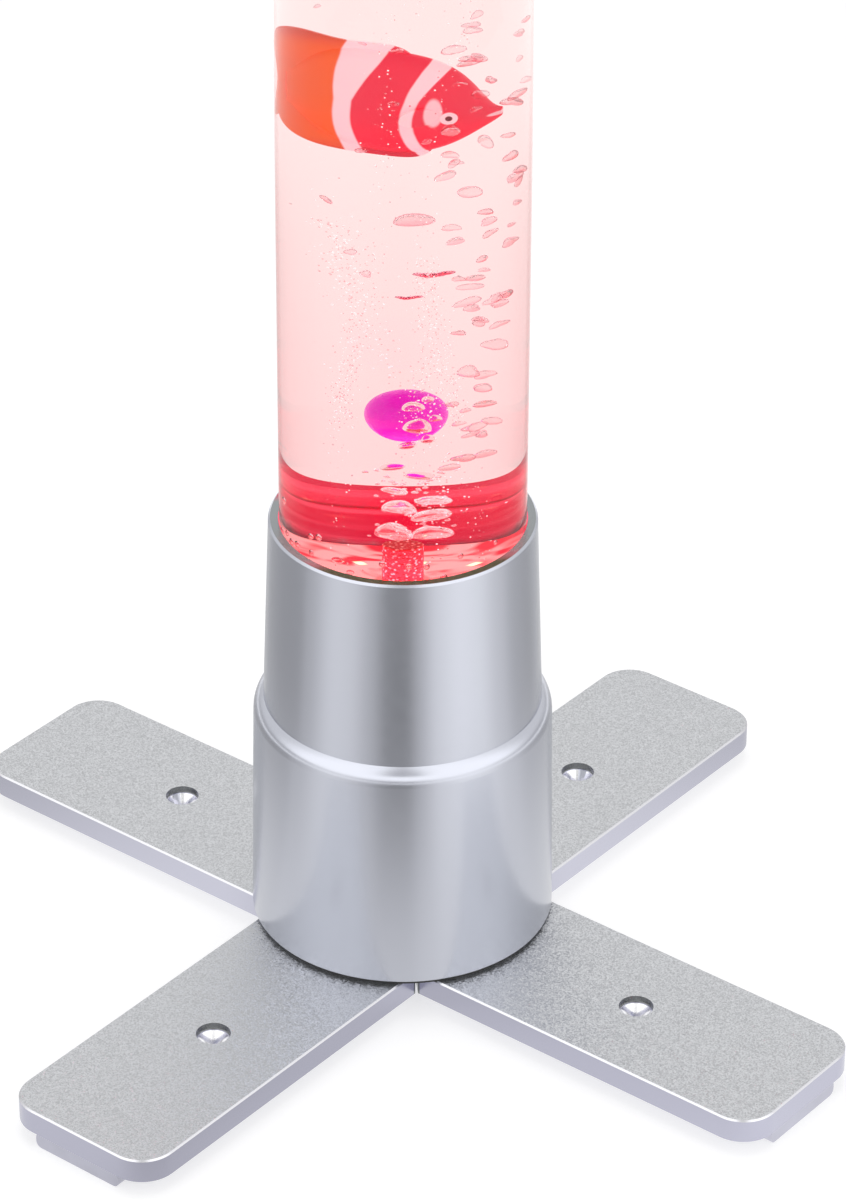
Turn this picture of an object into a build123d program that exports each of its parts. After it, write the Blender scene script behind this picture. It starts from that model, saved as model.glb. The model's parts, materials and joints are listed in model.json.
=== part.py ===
"""Liquid motion floor lamp: a water column with floating fish on a stepped base with four legs.

Millimetres. +Z up, the origin on the floor in the middle of the four legs, +Y to the rear.
"""

from build123d import *
import os
from math import cos, radians, sin, sqrt, tan

# Fits
fit_gap = 0.3
press_gap = 0.05
cut_overrun = 1.0

# Whole lamp
lamp_height = 1200.0
leg_count = 4
first_leg_angle = 45.0
third_count = 3

# Legs: flat plates with mitred roots
leg_reach = 186.0
leg_width = 68.0
leg_thickness = 9.3
leg_corner_radius = 13.5
leg_top_chamfer = 0.6
leg_mitre_gap = 1.0
leg_root_flat = 8.0
leg_hole_radius = 6.4
leg_hole_reach = 110.0
leg_names = ("rear_right_leg", "rear_left_leg", "front_left_leg", "front_right_leg")

# Foot bars under the outer ends of the legs
foot_bar_height = 6.2
foot_bar_thickness = 4.0
foot_bar_length = 39.0
foot_bar_inset = 1.0
foot_bar_corner = 2.4

# Countersunk bushes in the leg holes
bush_height = 6.4
bush_bore_radius = 2.6
bush_land_height = 1.4
bush_rim = 0.5

# Screws that hold the legs to the base plate
leg_screw_shank_radius = 2.5
leg_screw_head_radius = 4.5
leg_screw_head_height = 3.2
leg_screw_engagement = 6.5
leg_screw_inner_reach = 24.0
leg_screw_outer_reach = 44.0

# Base plate: a heavy disc between the legs and the housing
plate_foot_height = 1.6
plate_foot_inset = 1.5
plate_spigot_height = 8.0
small_screw_shank_radius = 1.5
small_screw_head_radius = 3.0
small_screw_head_height = 2.2
small_screw_engagement = 9.0

# Base housing: a tapered collar, a rolled shoulder and a wider drum
collar_width = 4.0
shoulder_width = 10.3
foot_flare = 1.2
pump_side_room = 0.9
housing_rise = 168.6
shoulder_rise = 86.6
shoulder_bend_radius = 8.1
shoulder_sweep = 58.0
housing_wall = 2.0
collar_land_height = 8.0
collar_rim_chamfer = 0.8
housing_foot_round = 0.5
lug_width = 10.0
lug_height = 12.0
lug_depth = 10.0

# Acrylic tube and its plug
tube_outer_radius = 45.0
tube_wall = 3.0
plug_depth_below_rim = 22.0
plug_thickness = 8.0
plug_top_chamfer = 0.8
pad_thickness = 2.0
pad_width = 5.0

# Carrier that holds the tube above the base plate
carrier_flange_thickness = 4.0
carrier_seat_width = 9.0
carrier_rim_wall = 1.0
carrier_rim_height = 6.0
carrier_skirt_wall = 2.0
carrier_skirt_height = 9.0
carrier_lip_width = 6.0
carrier_lip_thickness = 2.0
post_radius = 4.5
post_inset = 4.0
first_post_angle = 30.0

# Light ring under the plug
led_board_thickness = 1.6
led_board_bore = 8.0
led_size = 5.0
led_height = 1.6
led_count = 12
led_inset = 12.0
reflector_top_wall = 0.8
reflector_foot_wall = 5.0

# Air fitting and air stone
fitting_shank_radius = 4.0
fitting_flange_radius = 7.0
fitting_flange_height = 2.0
fitting_seal_height = 1.0
fitting_nut_flats = 13.0
fitting_nut_height = 4.0
barb_radius = 2.0
barb_length = 8.0
air_bore_radius = 1.0
stone_barb_radius = 1.8
stone_radius = 5.3
stone_top_below_rim = 4.0
stone_edge_round = 0.6

# Air hose and check valve
hose_radius = 3.0
valve_radius = 6.0
valve_length = 18.0
valve_waist_radius = 4.5
valve_seam_height = 3.0
hose_run_from_valve = 12.7
hose_run_to_fitting = 17.8
run_share_for_bends = 0.45

# Diaphragm air pump
pump_length = 70.0
pump_width = 40.0
pump_height = 30.0
pump_wall = 2.0
pump_centre_y = -8.0
pump_corner_radius = 4.0
pump_foot_radius = 4.0
pump_foot_height = 5.0
pump_foot_inset = 7.0
lid_lip_depth = 2.0
core_depth = 22.0
core_width = 30.0
core_limb = 6.0
core_stack = 12.0
coil_side = 5.7
coil_corner = 2.0
magnet_length = 6.0
magnet_width = 16.0
magnet_height = 12.0
magnet_air_gap = 1.5
arm_thickness = 1.5
arm_height = 10.0
arm_pivot_inset = 3.0
arm_barrel_radius = 1.6
pivot_block_depth = 6.0
pivot_block_width = 10.0
pivot_block_height = 14.0
diaphragm_x = 12.0
diaphragm_rim_radius = 9.0
diaphragm_crown_radius = 3.5
diaphragm_depth = 8.0
diaphragm_wall = 1.2
diaphragm_rim_height = 1.5
valve_block_length = 20.0
valve_block_height = 20.0
outlet_inset = 3.4
outlet_rise = 15.0

# Control board behind the pump
board_width = 52.0
board_height = 30.0
board_thickness = 1.6
board_boss_radius = 2.5
board_boss_length = 2.5
board_boss_inset = 4.0
capacitor_radius = 4.0
capacitor_length = 9.0
chip_length = 10.0
chip_width = 6.0
chip_height = 1.8
plug_box_width = 8.0
plug_box_depth = 7.0
led_plug_x = -18.0
chip_x = 14.0
capacitor_x = 10.0
component_offset = 8.0

# Cables inside the base
cable_radius = 1.5
led_cable_first_run = 23.0
led_cable_last_run = 33.0
led_cable_inset = 12.0
led_cable_top_y = 8.0

# Power inlet at the rear
inlet_z = 48.0
inlet_flange_radius = 7.2
inlet_flange_height = 1.5
inlet_seat_depth = 0.56
inlet_body_radius = 5.5
inlet_body_length = 11.5
inlet_socket_radius = 2.75
inlet_socket_depth = 9.5
inlet_pin_radius = 1.05
inlet_pin_setback = 2.0
inlet_tail_radius = 4.0
inlet_tail_length = 2.0
inlet_nut_flats = 14.0
inlet_nut_height = 3.0

# Top cap
cap_height = 46.0
cap_roof = 3.0
cap_wall = 2.7
cap_taper = 0.5
cap_top_round = 3.0
cap_seal_height = 5.0

# Floating fish: lengths as shares of the tube's bore radius, heights and places as shares of the
# length; the lower one floats at a height above the rim, the others at shares of the column above it
fish_thickness_share = 0.24
fish_nose_share = 0.394
fish_fin_thickness = 1.4
lower_fish_length_share = 1.524
lower_fish_height_share = 0.712
lower_fish_rise = 175.7
lower_fish_yaw = -6.0
middle_fish_length_share = 1.333
middle_fish_height_share = 0.607
middle_fish_column_share = 0.4922
middle_fish_yaw = 168.0
upper_fish_length_share = 1.381
upper_fish_height_share = 0.621
upper_fish_column_share = 0.7949
upper_fish_yaw = 24.0
eye_along_share = 0.205
eye_up_share = -0.153
eye_radius_share = 0.037
eye_reach_share = 0.099
side_fin_along_share = 0.255
side_fin_up_share = -0.120
side_fin_out_share = 0.100
side_fin_length_share = 0.190
side_fin_width_share = 0.100
side_fin_thickness = 1.0
side_fin_spread = 28.0

# Floating balls
lower_ball_radius = 10.0
lower_ball_rise = 46.6
lower_ball_x = 1.5
lower_ball_y = 7.0
middle_ball_radius = 11.0
middle_ball_column_share = 0.3582
middle_ball_x = -4.0
middle_ball_y = -9.0
upper_ball_radius = 10.5
upper_ball_column_share = 0.6609
upper_ball_x = 6.0
upper_ball_y = 5.0

# Fish body from nose to tail root: place, middle height, half height and half thickness,
# as shares of the fish's length, height, height and thickness
fish_station_shares = (
    (0.000, -0.178, 0.036, 0.07),
    (0.050, -0.178, 0.086, 0.20),
    (0.160, -0.108, 0.262, 0.36),
    (0.300, -0.072, 0.385, 0.47),
    (0.470, -0.040, 0.420, 0.50),
    (0.650, 0.000, 0.380, 0.42),
    (0.790, 0.010, 0.250, 0.24),
    (0.890, 0.010, 0.140, 0.11),
)
# Fin outlines, as shares of the fish's length behind the nose and of its height
back_fin_shares = ((0.34, 0.28), (0.40, 0.39), (0.62, 0.45), (0.84, 0.50), (0.96, 0.44), (0.84, 0.10))
belly_fin_shares = (
    (0.27, -0.40), (0.31, -0.49), (0.46, -0.50), (0.65, -0.46), (0.80, -0.41), (0.93, -0.29), (0.84, -0.06)
)
tail_fin_shares = (
    (0.84, 0.08), (0.93, 0.28), (1.00, 0.34), (0.95, 0.04), (1.00, -0.28), (0.93, -0.24), (0.84, -0.08)
)

# Heights and radii that follow from the sizes above
leg_bottom_z = foot_bar_height
leg_top_z = leg_bottom_z + leg_thickness
housing_bottom_z = leg_top_z + plate_foot_height
plate_top_z = housing_bottom_z + plate_spigot_height
rim_z = leg_top_z + housing_rise
waist_z = leg_top_z + shoulder_rise
pump_corner_x = pump_length / 2 - pump_corner_radius
pump_corner_y = pump_width / 2 - pump_centre_y - pump_corner_radius
pump_corner_reach = sqrt(pump_corner_x ** 2 + pump_corner_y ** 2) + pump_corner_radius
drum_radius_for_pump = pump_corner_reach + pump_side_room + lug_depth + fit_gap + housing_wall
drum_radius_for_tube = tube_outer_radius + shoulder_width + foot_flare
housing_bottom_radius = max(drum_radius_for_pump, drum_radius_for_tube)
housing_waist_radius = housing_bottom_radius - foot_flare
housing_rim_radius = tube_outer_radius + collar_width
shoulder_radial = shoulder_bend_radius * (1 - cos(radians(shoulder_sweep)))
shoulder_height = shoulder_bend_radius * sin(radians(shoulder_sweep))
crease_radius = housing_waist_radius - shoulder_radial
crease_z = waist_z + shoulder_height
collar_bore_radius = tube_outer_radius + fit_gap
tube_inner_radius = tube_outer_radius - tube_wall
carrier_opening_radius = tube_outer_radius - carrier_seat_width
post_reach = tube_outer_radius - post_inset
plug_top_z = rim_z - plug_depth_below_rim
tube_bottom_z = plug_top_z - plug_thickness
carrier_top_z = tube_bottom_z - pad_thickness
carrier_underside_z = carrier_top_z - carrier_flange_thickness
carrier_floor_z = carrier_underside_z - carrier_skirt_height
led_board_z = carrier_floor_z + carrier_lip_thickness
led_board_top_z = led_board_z + led_board_thickness
cap_underside_z = lamp_height - cap_roof
tube_top_z = cap_underside_z - cap_seal_height - fit_gap
column_height = tube_top_z - rim_z
cap_bottom_z = lamp_height - cap_height
pump_bottom_z = plate_top_z + pump_foot_height
pump_rim_z = pump_bottom_z + pump_height
pump_lid_top_z = pump_rim_z + pump_wall
mechanism_z = pump_bottom_z + pump_height / 2
pump_back_y = pump_centre_y + pump_width / 2
drum_taper = foot_flare / (waist_z - housing_bottom_z)
drum_radius_at_inlet = housing_bottom_radius - drum_taper * (inlet_z - housing_bottom_z)
inlet_seat_y = drum_radius_at_inlet - inlet_seat_depth
post_angles = [first_post_angle + turn * 360 / third_count for turn in range(third_count)]
lug_angles = [angle + 180 / third_count for angle in post_angles]
leg_angles = [first_leg_angle + turn * 360 / leg_count for turn in range(leg_count)]

os.makedirs("parts", exist_ok=True)


def plane_towards(angle, height):
    """A level plane on the lamp's axis, with its x direction turned by angle."""
    heading = radians(angle)
    return Plane(origin=(0, 0, height), x_dir=(cos(heading), sin(heading), 0), z_dir=(0, 0, 1))


def upright_plane(angle, reach=0.0, side=0.0):
    """A standing plane: x outward along angle, y up, moved out by reach and sideways by side."""
    heading = radians(angle)
    out = Vector(cos(heading), sin(heading), 0)
    across = Vector(-sin(heading), cos(heading), 0)
    return Plane(origin=out * reach + across * side, x_dir=out, z_dir=-across)


def facing_plane(angle, reach, height):
    """A standing plane that faces along angle: x sideways, y up."""
    heading = radians(angle)
    out = Vector(cos(heading), sin(heading), 0)
    across = Vector(-sin(heading), cos(heading), 0)
    return Plane(origin=out * reach + Vector(0, 0, height), x_dir=across, z_dir=out)


def save(piece, name):
    """Label a finished piece and write its file."""
    piece.part.label = name
    export_step(piece.part, f"parts/{name}.step")


# Four legs
for leg_name, leg_angle in zip(leg_names, leg_angles):
    with BuildPart() as leg:
        mitre_offset = leg_mitre_gap * sqrt(2) / 2
        root_half = leg_root_flat - mitre_offset
        half_width = leg_width / 2
        with BuildSketch(plane_towards(leg_angle, leg_bottom_z)):
            with BuildLine():
                Polyline(
                    (leg_root_flat, -root_half),
                    (half_width + mitre_offset, -half_width),
                    (leg_reach, -half_width),
                    (leg_reach, half_width),
                    (half_width + mitre_offset, half_width),
                    (leg_root_flat, root_half),
                    close=True,
                )
            make_face()
        extrude(amount=leg_thickness)
        end_face = leg.faces().sort_by(Axis((0, 0, 0), plane_towards(leg_angle, 0).x_dir))[-1]
        fillet(end_face.edges().filter_by(Axis.Z), leg_corner_radius)
        chamfer(leg.faces().sort_by(Axis.Z)[-1].outer_wire().edges(), leg_top_chamfer)
        with BuildSketch(plane_towards(leg_angle, leg_bottom_z)):
            with Locations((leg_hole_reach, 0)):
                Circle(leg_hole_radius)
            with Locations((leg_screw_inner_reach, 0), (leg_screw_outer_reach, 0)):
                Circle(leg_screw_shank_radius + fit_gap / 2)
        extrude(amount=leg_thickness, mode=Mode.SUBTRACT)
        with BuildSketch(plane_towards(leg_angle, leg_bottom_z)):
            with Locations((leg_screw_inner_reach, 0), (leg_screw_outer_reach, 0)):
                Circle(leg_screw_head_radius + fit_gap)
        extrude(amount=leg_screw_head_height + fit_gap, mode=Mode.SUBTRACT)
    save(leg, leg_name)

# Foot bars: one under the end of each leg
with BuildPart() as foot_bars:
    for leg_angle in leg_angles:
        with BuildSketch(facing_plane(leg_angle, leg_reach - foot_bar_inset, foot_bar_height / 2)):
            bar_face = Rectangle(foot_bar_length, foot_bar_height)
            fillet(bar_face.vertices().group_by(Axis.Z)[0], foot_bar_corner)
        extrude(amount=-foot_bar_thickness)
save(foot_bars, "foot_bars")

# Countersunk bushes in the leg holes
with BuildPart() as leg_hole_bushes:
    bush_radius = leg_hole_radius - press_gap
    bush_top_z = leg_bottom_z + bush_height
    for leg_angle in leg_angles:
        bush_plane = upright_plane(leg_angle, reach=leg_hole_reach)
        with BuildSketch(bush_plane):
            with BuildLine():
                Polyline(
                    (bush_bore_radius, leg_bottom_z),
                    (bush_radius, leg_bottom_z),
                    (bush_radius, bush_top_z),
                    (bush_radius - bush_rim, bush_top_z),
                    (bush_bore_radius, leg_bottom_z + bush_land_height),
                    close=True,
                )
            make_face()
        revolve(axis=Axis(bush_plane.origin, (0, 0, 1)))
save(leg_hole_bushes, "leg_hole_bushes")

# Leg screws, two to a leg, entered from below
with BuildPart() as leg_screws:
    head_seat_z = leg_bottom_z + leg_screw_head_height + fit_gap
    for leg_angle in leg_angles:
        with BuildSketch(plane_towards(leg_angle, head_seat_z)):
            with Locations((leg_screw_inner_reach, 0), (leg_screw_outer_reach, 0)):
                Circle(leg_screw_head_radius)
        extrude(amount=-leg_screw_head_height)
        with BuildSketch(plane_towards(leg_angle, head_seat_z)):
            with Locations((leg_screw_inner_reach, 0), (leg_screw_outer_reach, 0)):
                Circle(leg_screw_shank_radius)
        extrude(amount=leg_top_z + leg_screw_engagement - head_seat_z)
save(leg_screws, "leg_screws")

# Base plate: a foot disc that shows as the dark line under the housing, and a spigot inside it
spigot_radius = housing_bottom_radius - housing_wall - fit_gap
with BuildPart() as base_plate:
    with BuildSketch(Plane.XY.offset(leg_top_z)):
        Circle(housing_bottom_radius - plate_foot_inset)
    extrude(amount=plate_foot_height)
    with BuildSketch(Plane.XY.offset(housing_bottom_z)):
        Circle(spigot_radius)
    extrude(amount=plate_spigot_height)
    for leg_angle in leg_angles:
        with BuildSketch(plane_towards(leg_angle, leg_top_z)):
            with Locations((leg_screw_inner_reach, 0), (leg_screw_outer_reach, 0)):
                Circle(leg_screw_shank_radius + press_gap)
        extrude(amount=leg_screw_engagement + fit_gap, mode=Mode.SUBTRACT)
    lug_reach = spigot_radius - lug_depth / 2
    for screw_reach, screw_angles in ((post_reach, post_angles), (lug_reach, lug_angles)):
        for screw_angle in screw_angles:
            with BuildSketch(plane_towards(screw_angle, leg_top_z)):
                with Locations((screw_reach, 0)):
                    Circle(small_screw_shank_radius + fit_gap / 2)
            extrude(amount=plate_foot_height + plate_spigot_height, mode=Mode.SUBTRACT)
            with BuildSketch(plane_towards(screw_angle, leg_top_z)):
                with Locations((screw_reach, 0)):
                    Circle(small_screw_head_radius + fit_gap)
            extrude(amount=small_screw_head_height + fit_gap, mode=Mode.SUBTRACT)
save(base_plate, "base_plate")

# Small screws from below the base plate into the housing lugs and the carrier posts
for screw_set, screw_reach, screw_angles in (
    ("housing_screws", lug_reach, lug_angles),
    ("carrier_screws", post_reach, post_angles),
):
    with BuildPart() as small_screws:
        small_seat_z = leg_top_z + small_screw_head_height + fit_gap
        for screw_angle in screw_angles:
            with BuildSketch(plane_towards(screw_angle, small_seat_z)):
                with Locations((screw_reach, 0)):
                    Circle(small_screw_head_radius)
            extrude(amount=-small_screw_head_height)
            with BuildSketch(plane_towards(screw_angle, small_seat_z)):
                with Locations((screw_reach, 0)):
                    Circle(small_screw_shank_radius)
            extrude(amount=plate_top_z + small_screw_engagement - small_seat_z)
    save(small_screws, screw_set)

# Base housing
bend_centre_r = housing_waist_radius - shoulder_bend_radius
inner_bend_radius = shoulder_bend_radius - housing_wall
with BuildPart() as base_housing:
    with BuildSketch(Plane.XZ):
        with BuildLine():
            lower_wall = Line((housing_bottom_radius, housing_bottom_z), (housing_waist_radius, waist_z))
            shoulder = CenterArc((bend_centre_r, waist_z), shoulder_bend_radius, 0, shoulder_sweep)
            collar_wall = Line(shoulder @ 1, (housing_rim_radius, rim_z - collar_rim_chamfer))
            rim = Polyline(
                collar_wall @ 1,
                (housing_rim_radius - collar_rim_chamfer, rim_z),
                (collar_bore_radius, rim_z),
                (collar_bore_radius, rim_z - collar_land_height),
                (housing_rim_radius - housing_wall, rim_z - collar_land_height),
                (crease_radius - housing_wall, crease_z),
            )
            inner_bend_end = (
                bend_centre_r + inner_bend_radius * cos(radians(shoulder_sweep)),
                waist_z + inner_bend_radius * sin(radians(shoulder_sweep)),
            )
            inner_neck = Line(rim @ 1, inner_bend_end)
            inner_shoulder = CenterArc(
                (bend_centre_r, waist_z), inner_bend_radius, shoulder_sweep, -shoulder_sweep
            )
            inner_wall = Polyline(
                inner_shoulder @ 1,
                (housing_bottom_radius - housing_wall, housing_bottom_z),
                (housing_bottom_radius, housing_bottom_z),
            )
        make_face()
    revolve(axis=Axis.Z)
    foot_edge = base_housing.edges().filter_by(GeomType.CIRCLE).filter_by_position(
        Axis.Z, housing_bottom_z - press_gap, housing_bottom_z + press_gap
    ).sort_by(SortBy.RADIUS)[-1]
    fillet(foot_edge, housing_foot_round)
    # Lugs for the screws, standing on the base plate
    lug_outer_reach = housing_bottom_radius - housing_wall / 2
    for lug_angle in lug_angles:
        with BuildSketch(plane_towards(lug_angle, plate_top_z)):
            with Locations(((lug_outer_reach + lug_reach - lug_depth / 2) / 2, 0)):
                Rectangle(lug_outer_reach - lug_reach + lug_depth / 2, lug_width)
        extrude(amount=lug_height)
        with BuildSketch(plane_towards(lug_angle, plate_top_z)):
            with Locations((lug_reach, 0)):
                Circle(small_screw_shank_radius + press_gap)
        extrude(amount=small_screw_engagement + fit_gap, mode=Mode.SUBTRACT)
    # Seat and hole of the power inlet
    with BuildSketch(Plane(origin=(0, inlet_seat_y, inlet_z), x_dir=(-1, 0, 0), z_dir=(0, 1, 0))):
        Circle(inlet_flange_radius + fit_gap)
    extrude(amount=inlet_flange_height, mode=Mode.SUBTRACT)
    with BuildSketch(Plane(origin=(0, inlet_seat_y, inlet_z), x_dir=(-1, 0, 0), z_dir=(0, 1, 0))):
        Circle(inlet_body_radius + press_gap)
    extrude(amount=-inlet_body_length, mode=Mode.SUBTRACT)
save(base_housing, "base_housing")

# Power inlet: a round socket with a centre contact, held by a nut inside the wall
inlet_plane = Plane(origin=(0, inlet_seat_y, inlet_z), x_dir=(-1, 0, 0), z_dir=(0, 1, 0))
with BuildPart() as power_inlet:
    with BuildSketch(inlet_plane):
        Circle(inlet_flange_radius)
    extrude(amount=inlet_flange_height)
    with BuildSketch(inlet_plane):
        Circle(inlet_body_radius)
    extrude(amount=-inlet_body_length)
    with BuildSketch(inlet_plane.offset(-inlet_body_length)):
        Circle(inlet_tail_radius)
    extrude(amount=-inlet_tail_length)
    with BuildSketch(inlet_plane.offset(inlet_flange_height)):
        Circle(inlet_socket_radius)
        Circle(inlet_pin_radius, mode=Mode.SUBTRACT)
    extrude(amount=-inlet_socket_depth, mode=Mode.SUBTRACT)
    with BuildSketch(inlet_plane.offset(inlet_flange_height)):
        Circle(inlet_pin_radius)
    extrude(amount=-inlet_pin_setback, mode=Mode.SUBTRACT)
save(power_inlet, "power_inlet")

inlet_nut_corner = inlet_nut_flats / sqrt(3)
drum_bore_at_nut = drum_radius_at_inlet - housing_wall - drum_taper * inlet_nut_corner
inlet_nut_y = sqrt(drum_bore_at_nut ** 2 - inlet_nut_corner ** 2) - fit_gap
with BuildPart() as inlet_nut:
    with BuildSketch(Plane(origin=(0, inlet_nut_y, inlet_z), x_dir=(-1, 0, 0), z_dir=(0, 1, 0))):
        RegularPolygon(inlet_nut_flats / 2, 6, major_radius=False)
        Circle(inlet_body_radius + press_gap, mode=Mode.SUBTRACT)
    extrude(amount=-inlet_nut_height)
save(inlet_nut, "inlet_nut")

# Acrylic tube, its plug and the pad it stands on
with BuildPart() as acrylic_tube:
    with BuildSketch(Plane.XY.offset(tube_bottom_z)):
        Circle(tube_outer_radius)
        Circle(tube_inner_radius, mode=Mode.SUBTRACT)
    extrude(amount=tube_top_z - tube_bottom_z)
save(acrylic_tube, "acrylic_tube")

with BuildPart() as tube_plug:
    with BuildSketch(Plane.XY.offset(tube_bottom_z)):
        Circle(tube_inner_radius - press_gap)
        Circle(fitting_shank_radius + press_gap, mode=Mode.SUBTRACT)
    extrude(amount=plug_thickness)
    plug_rim = tube_plug.faces().sort_by(Axis.Z)[-1].outer_wire().edges()
    chamfer(plug_rim, plug_top_chamfer)
save(tube_plug, "tube_plug")

with BuildPart() as tube_pad:
    with BuildSketch(Plane.XY.offset(carrier_top_z)):
        Circle(tube_outer_radius)
        Circle(tube_outer_radius - pad_width, mode=Mode.SUBTRACT)
    extrude(amount=pad_thickness)
save(tube_pad, "tube_pad")

# Carrier: centres the tube, holds the light ring and stands on three posts
carrier_outer_radius = collar_bore_radius + carrier_rim_wall
with BuildPart() as tube_carrier:
    with BuildSketch(Plane.XZ):
        with BuildLine():
            Polyline(
                (carrier_outer_radius, carrier_underside_z),
                (carrier_outer_radius, carrier_top_z + carrier_rim_height),
                (collar_bore_radius, carrier_top_z + carrier_rim_height),
                (collar_bore_radius, carrier_top_z),
                (carrier_opening_radius, carrier_top_z),
                (carrier_opening_radius, carrier_floor_z + carrier_lip_thickness),
                (carrier_opening_radius - carrier_lip_width, carrier_floor_z + carrier_lip_thickness),
                (carrier_opening_radius - carrier_lip_width, carrier_floor_z),
                (carrier_opening_radius + carrier_skirt_wall, carrier_floor_z),
                (carrier_opening_radius + carrier_skirt_wall, carrier_underside_z),
                close=True,
            )
        make_face()
    revolve(axis=Axis.Z)
    for post_angle in post_angles:
        with BuildSketch(plane_towards(post_angle, plate_top_z)):
            with Locations((post_reach, 0)):
                Circle(post_radius)
        extrude(amount=carrier_underside_z + carrier_flange_thickness / 2 - plate_top_z)
        with BuildSketch(plane_towards(post_angle, plate_top_z)):
            with Locations((post_reach, 0)):
                Circle(small_screw_shank_radius + press_gap)
        extrude(amount=small_screw_engagement + fit_gap, mode=Mode.SUBTRACT)
save(tube_carrier, "tube_carrier")

# Light ring: board, lamps and reflector
with BuildPart() as led_board:
    with BuildSketch(Plane.XY.offset(led_board_z)):
        Circle(carrier_opening_radius - fit_gap)
        Circle(led_board_bore, mode=Mode.SUBTRACT)
    extrude(amount=led_board_thickness)
save(led_board, "led_board")

with BuildPart() as leds:
    with BuildSketch(Plane.XY.offset(led_board_top_z)):
        with PolarLocations(carrier_opening_radius - led_inset, led_count):
            Rectangle(led_size, led_size)
    extrude(amount=led_height)
save(leds, "leds")

with BuildPart() as reflector:
    reflector_radius = carrier_opening_radius - fit_gap
    with BuildSketch(Plane.XZ):
        with BuildLine():
            Polyline(
                (reflector_radius, led_board_top_z),
                (reflector_radius, carrier_top_z),
                (reflector_radius - reflector_top_wall, carrier_top_z),
                (reflector_radius - reflector_foot_wall, led_board_top_z),
                close=True,
            )
        make_face()
    revolve(axis=Axis.Z)
save(reflector, "reflector")

# Air fitting through the plug, its seal and nut, and the air stone on top
flange_bottom_z = plug_top_z + fitting_seal_height
flange_top_z = flange_bottom_z + fitting_flange_height
fitting_end_z = tube_bottom_z - fitting_nut_height
stone_top_z = rim_z - stone_top_below_rim
with BuildPart() as air_fitting:
    with BuildSketch(Plane.XZ):
        with BuildLine():
            Polyline(
                (air_bore_radius, fitting_end_z - barb_length),
                (barb_radius, fitting_end_z - barb_length),
                (barb_radius, fitting_end_z),
                (fitting_shank_radius, fitting_end_z),
                (fitting_shank_radius, flange_bottom_z),
                (fitting_flange_radius, flange_bottom_z),
                (fitting_flange_radius, flange_top_z),
                (stone_barb_radius, flange_top_z),
                (stone_barb_radius, flange_top_z + barb_length),
                (air_bore_radius, flange_top_z + barb_length),
                close=True,
            )
        make_face()
    revolve(axis=Axis.Z)
save(air_fitting, "air_fitting")

with BuildPart() as fitting_seal:
    with BuildSketch(Plane.XY.offset(plug_top_z)):
        Circle(fitting_flange_radius)
        Circle(fitting_shank_radius + press_gap, mode=Mode.SUBTRACT)
    extrude(amount=fitting_seal_height)
save(fitting_seal, "fitting_seal")

with BuildPart() as fitting_nut:
    with BuildSketch(Plane.XY.offset(tube_bottom_z)):
        RegularPolygon(fitting_nut_flats / 2, 6, major_radius=False)
        Circle(fitting_shank_radius + press_gap, mode=Mode.SUBTRACT)
    extrude(amount=-fitting_nut_height)
save(fitting_nut, "fitting_nut")

with BuildPart() as air_stone:
    with BuildSketch(Plane.XY.offset(flange_top_z)):
        Circle(stone_radius)
    extrude(amount=stone_top_z - flange_top_z)
    fillet(air_stone.faces().sort_by(Axis.Z)[-1].edges(), stone_edge_round)
    with BuildSketch(Plane.XY.offset(flange_top_z)):
        Circle(stone_barb_radius + press_gap)
    extrude(amount=barb_length + fit_gap, mode=Mode.SUBTRACT)
save(air_stone, "air_stone")

# Pump case: tray with bosses for the control board, and its lid
with BuildPart() as pump_case:
    with BuildSketch(Plane.XY.offset(pump_bottom_z)):
        with Locations((0, pump_centre_y)):
            RectangleRounded(pump_length, pump_width, pump_corner_radius)
    extrude(amount=pump_height)
    with BuildSketch(Plane.XY.offset(pump_bottom_z + pump_wall)):
        with Locations((0, pump_centre_y)):
            RectangleRounded(
                pump_length - 2 * pump_wall, pump_width - 2 * pump_wall, pump_corner_radius - pump_wall
            )
    extrude(amount=pump_height, mode=Mode.SUBTRACT)
    # Ribs that carry the iron core
    core_end_x = -pump_length / 2 + pump_wall + fit_gap
    core_bottom_z = mechanism_z - core_stack / 2
    rib_height = core_bottom_z - pump_bottom_z - pump_wall
    with BuildSketch(Plane.XY.offset(pump_bottom_z + pump_wall)):
        with Locations(
            (core_end_x + core_depth / 2, pump_centre_y - core_width / 2 + core_limb / 2),
            (core_end_x + core_depth / 2, pump_centre_y + core_width / 2 - core_limb / 2),
        ):
            Rectangle(core_depth, pump_wall)
    extrude(amount=rib_height)
    # Bosses for the control board
    board_middle_z = pump_bottom_z + board_height / 2
    boss_x = board_width / 2 - board_boss_inset
    boss_z = board_height / 2 - board_boss_inset
    with BuildSketch(Plane(origin=(0, pump_back_y, board_middle_z), x_dir=(-1, 0, 0), z_dir=(0, 1, 0))):
        with Locations((-boss_x, -boss_z), (-boss_x, boss_z), (boss_x, -boss_z), (boss_x, boss_z)):
            Circle(board_boss_radius)
    extrude(amount=board_boss_length)
save(pump_case, "pump_case")

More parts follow.
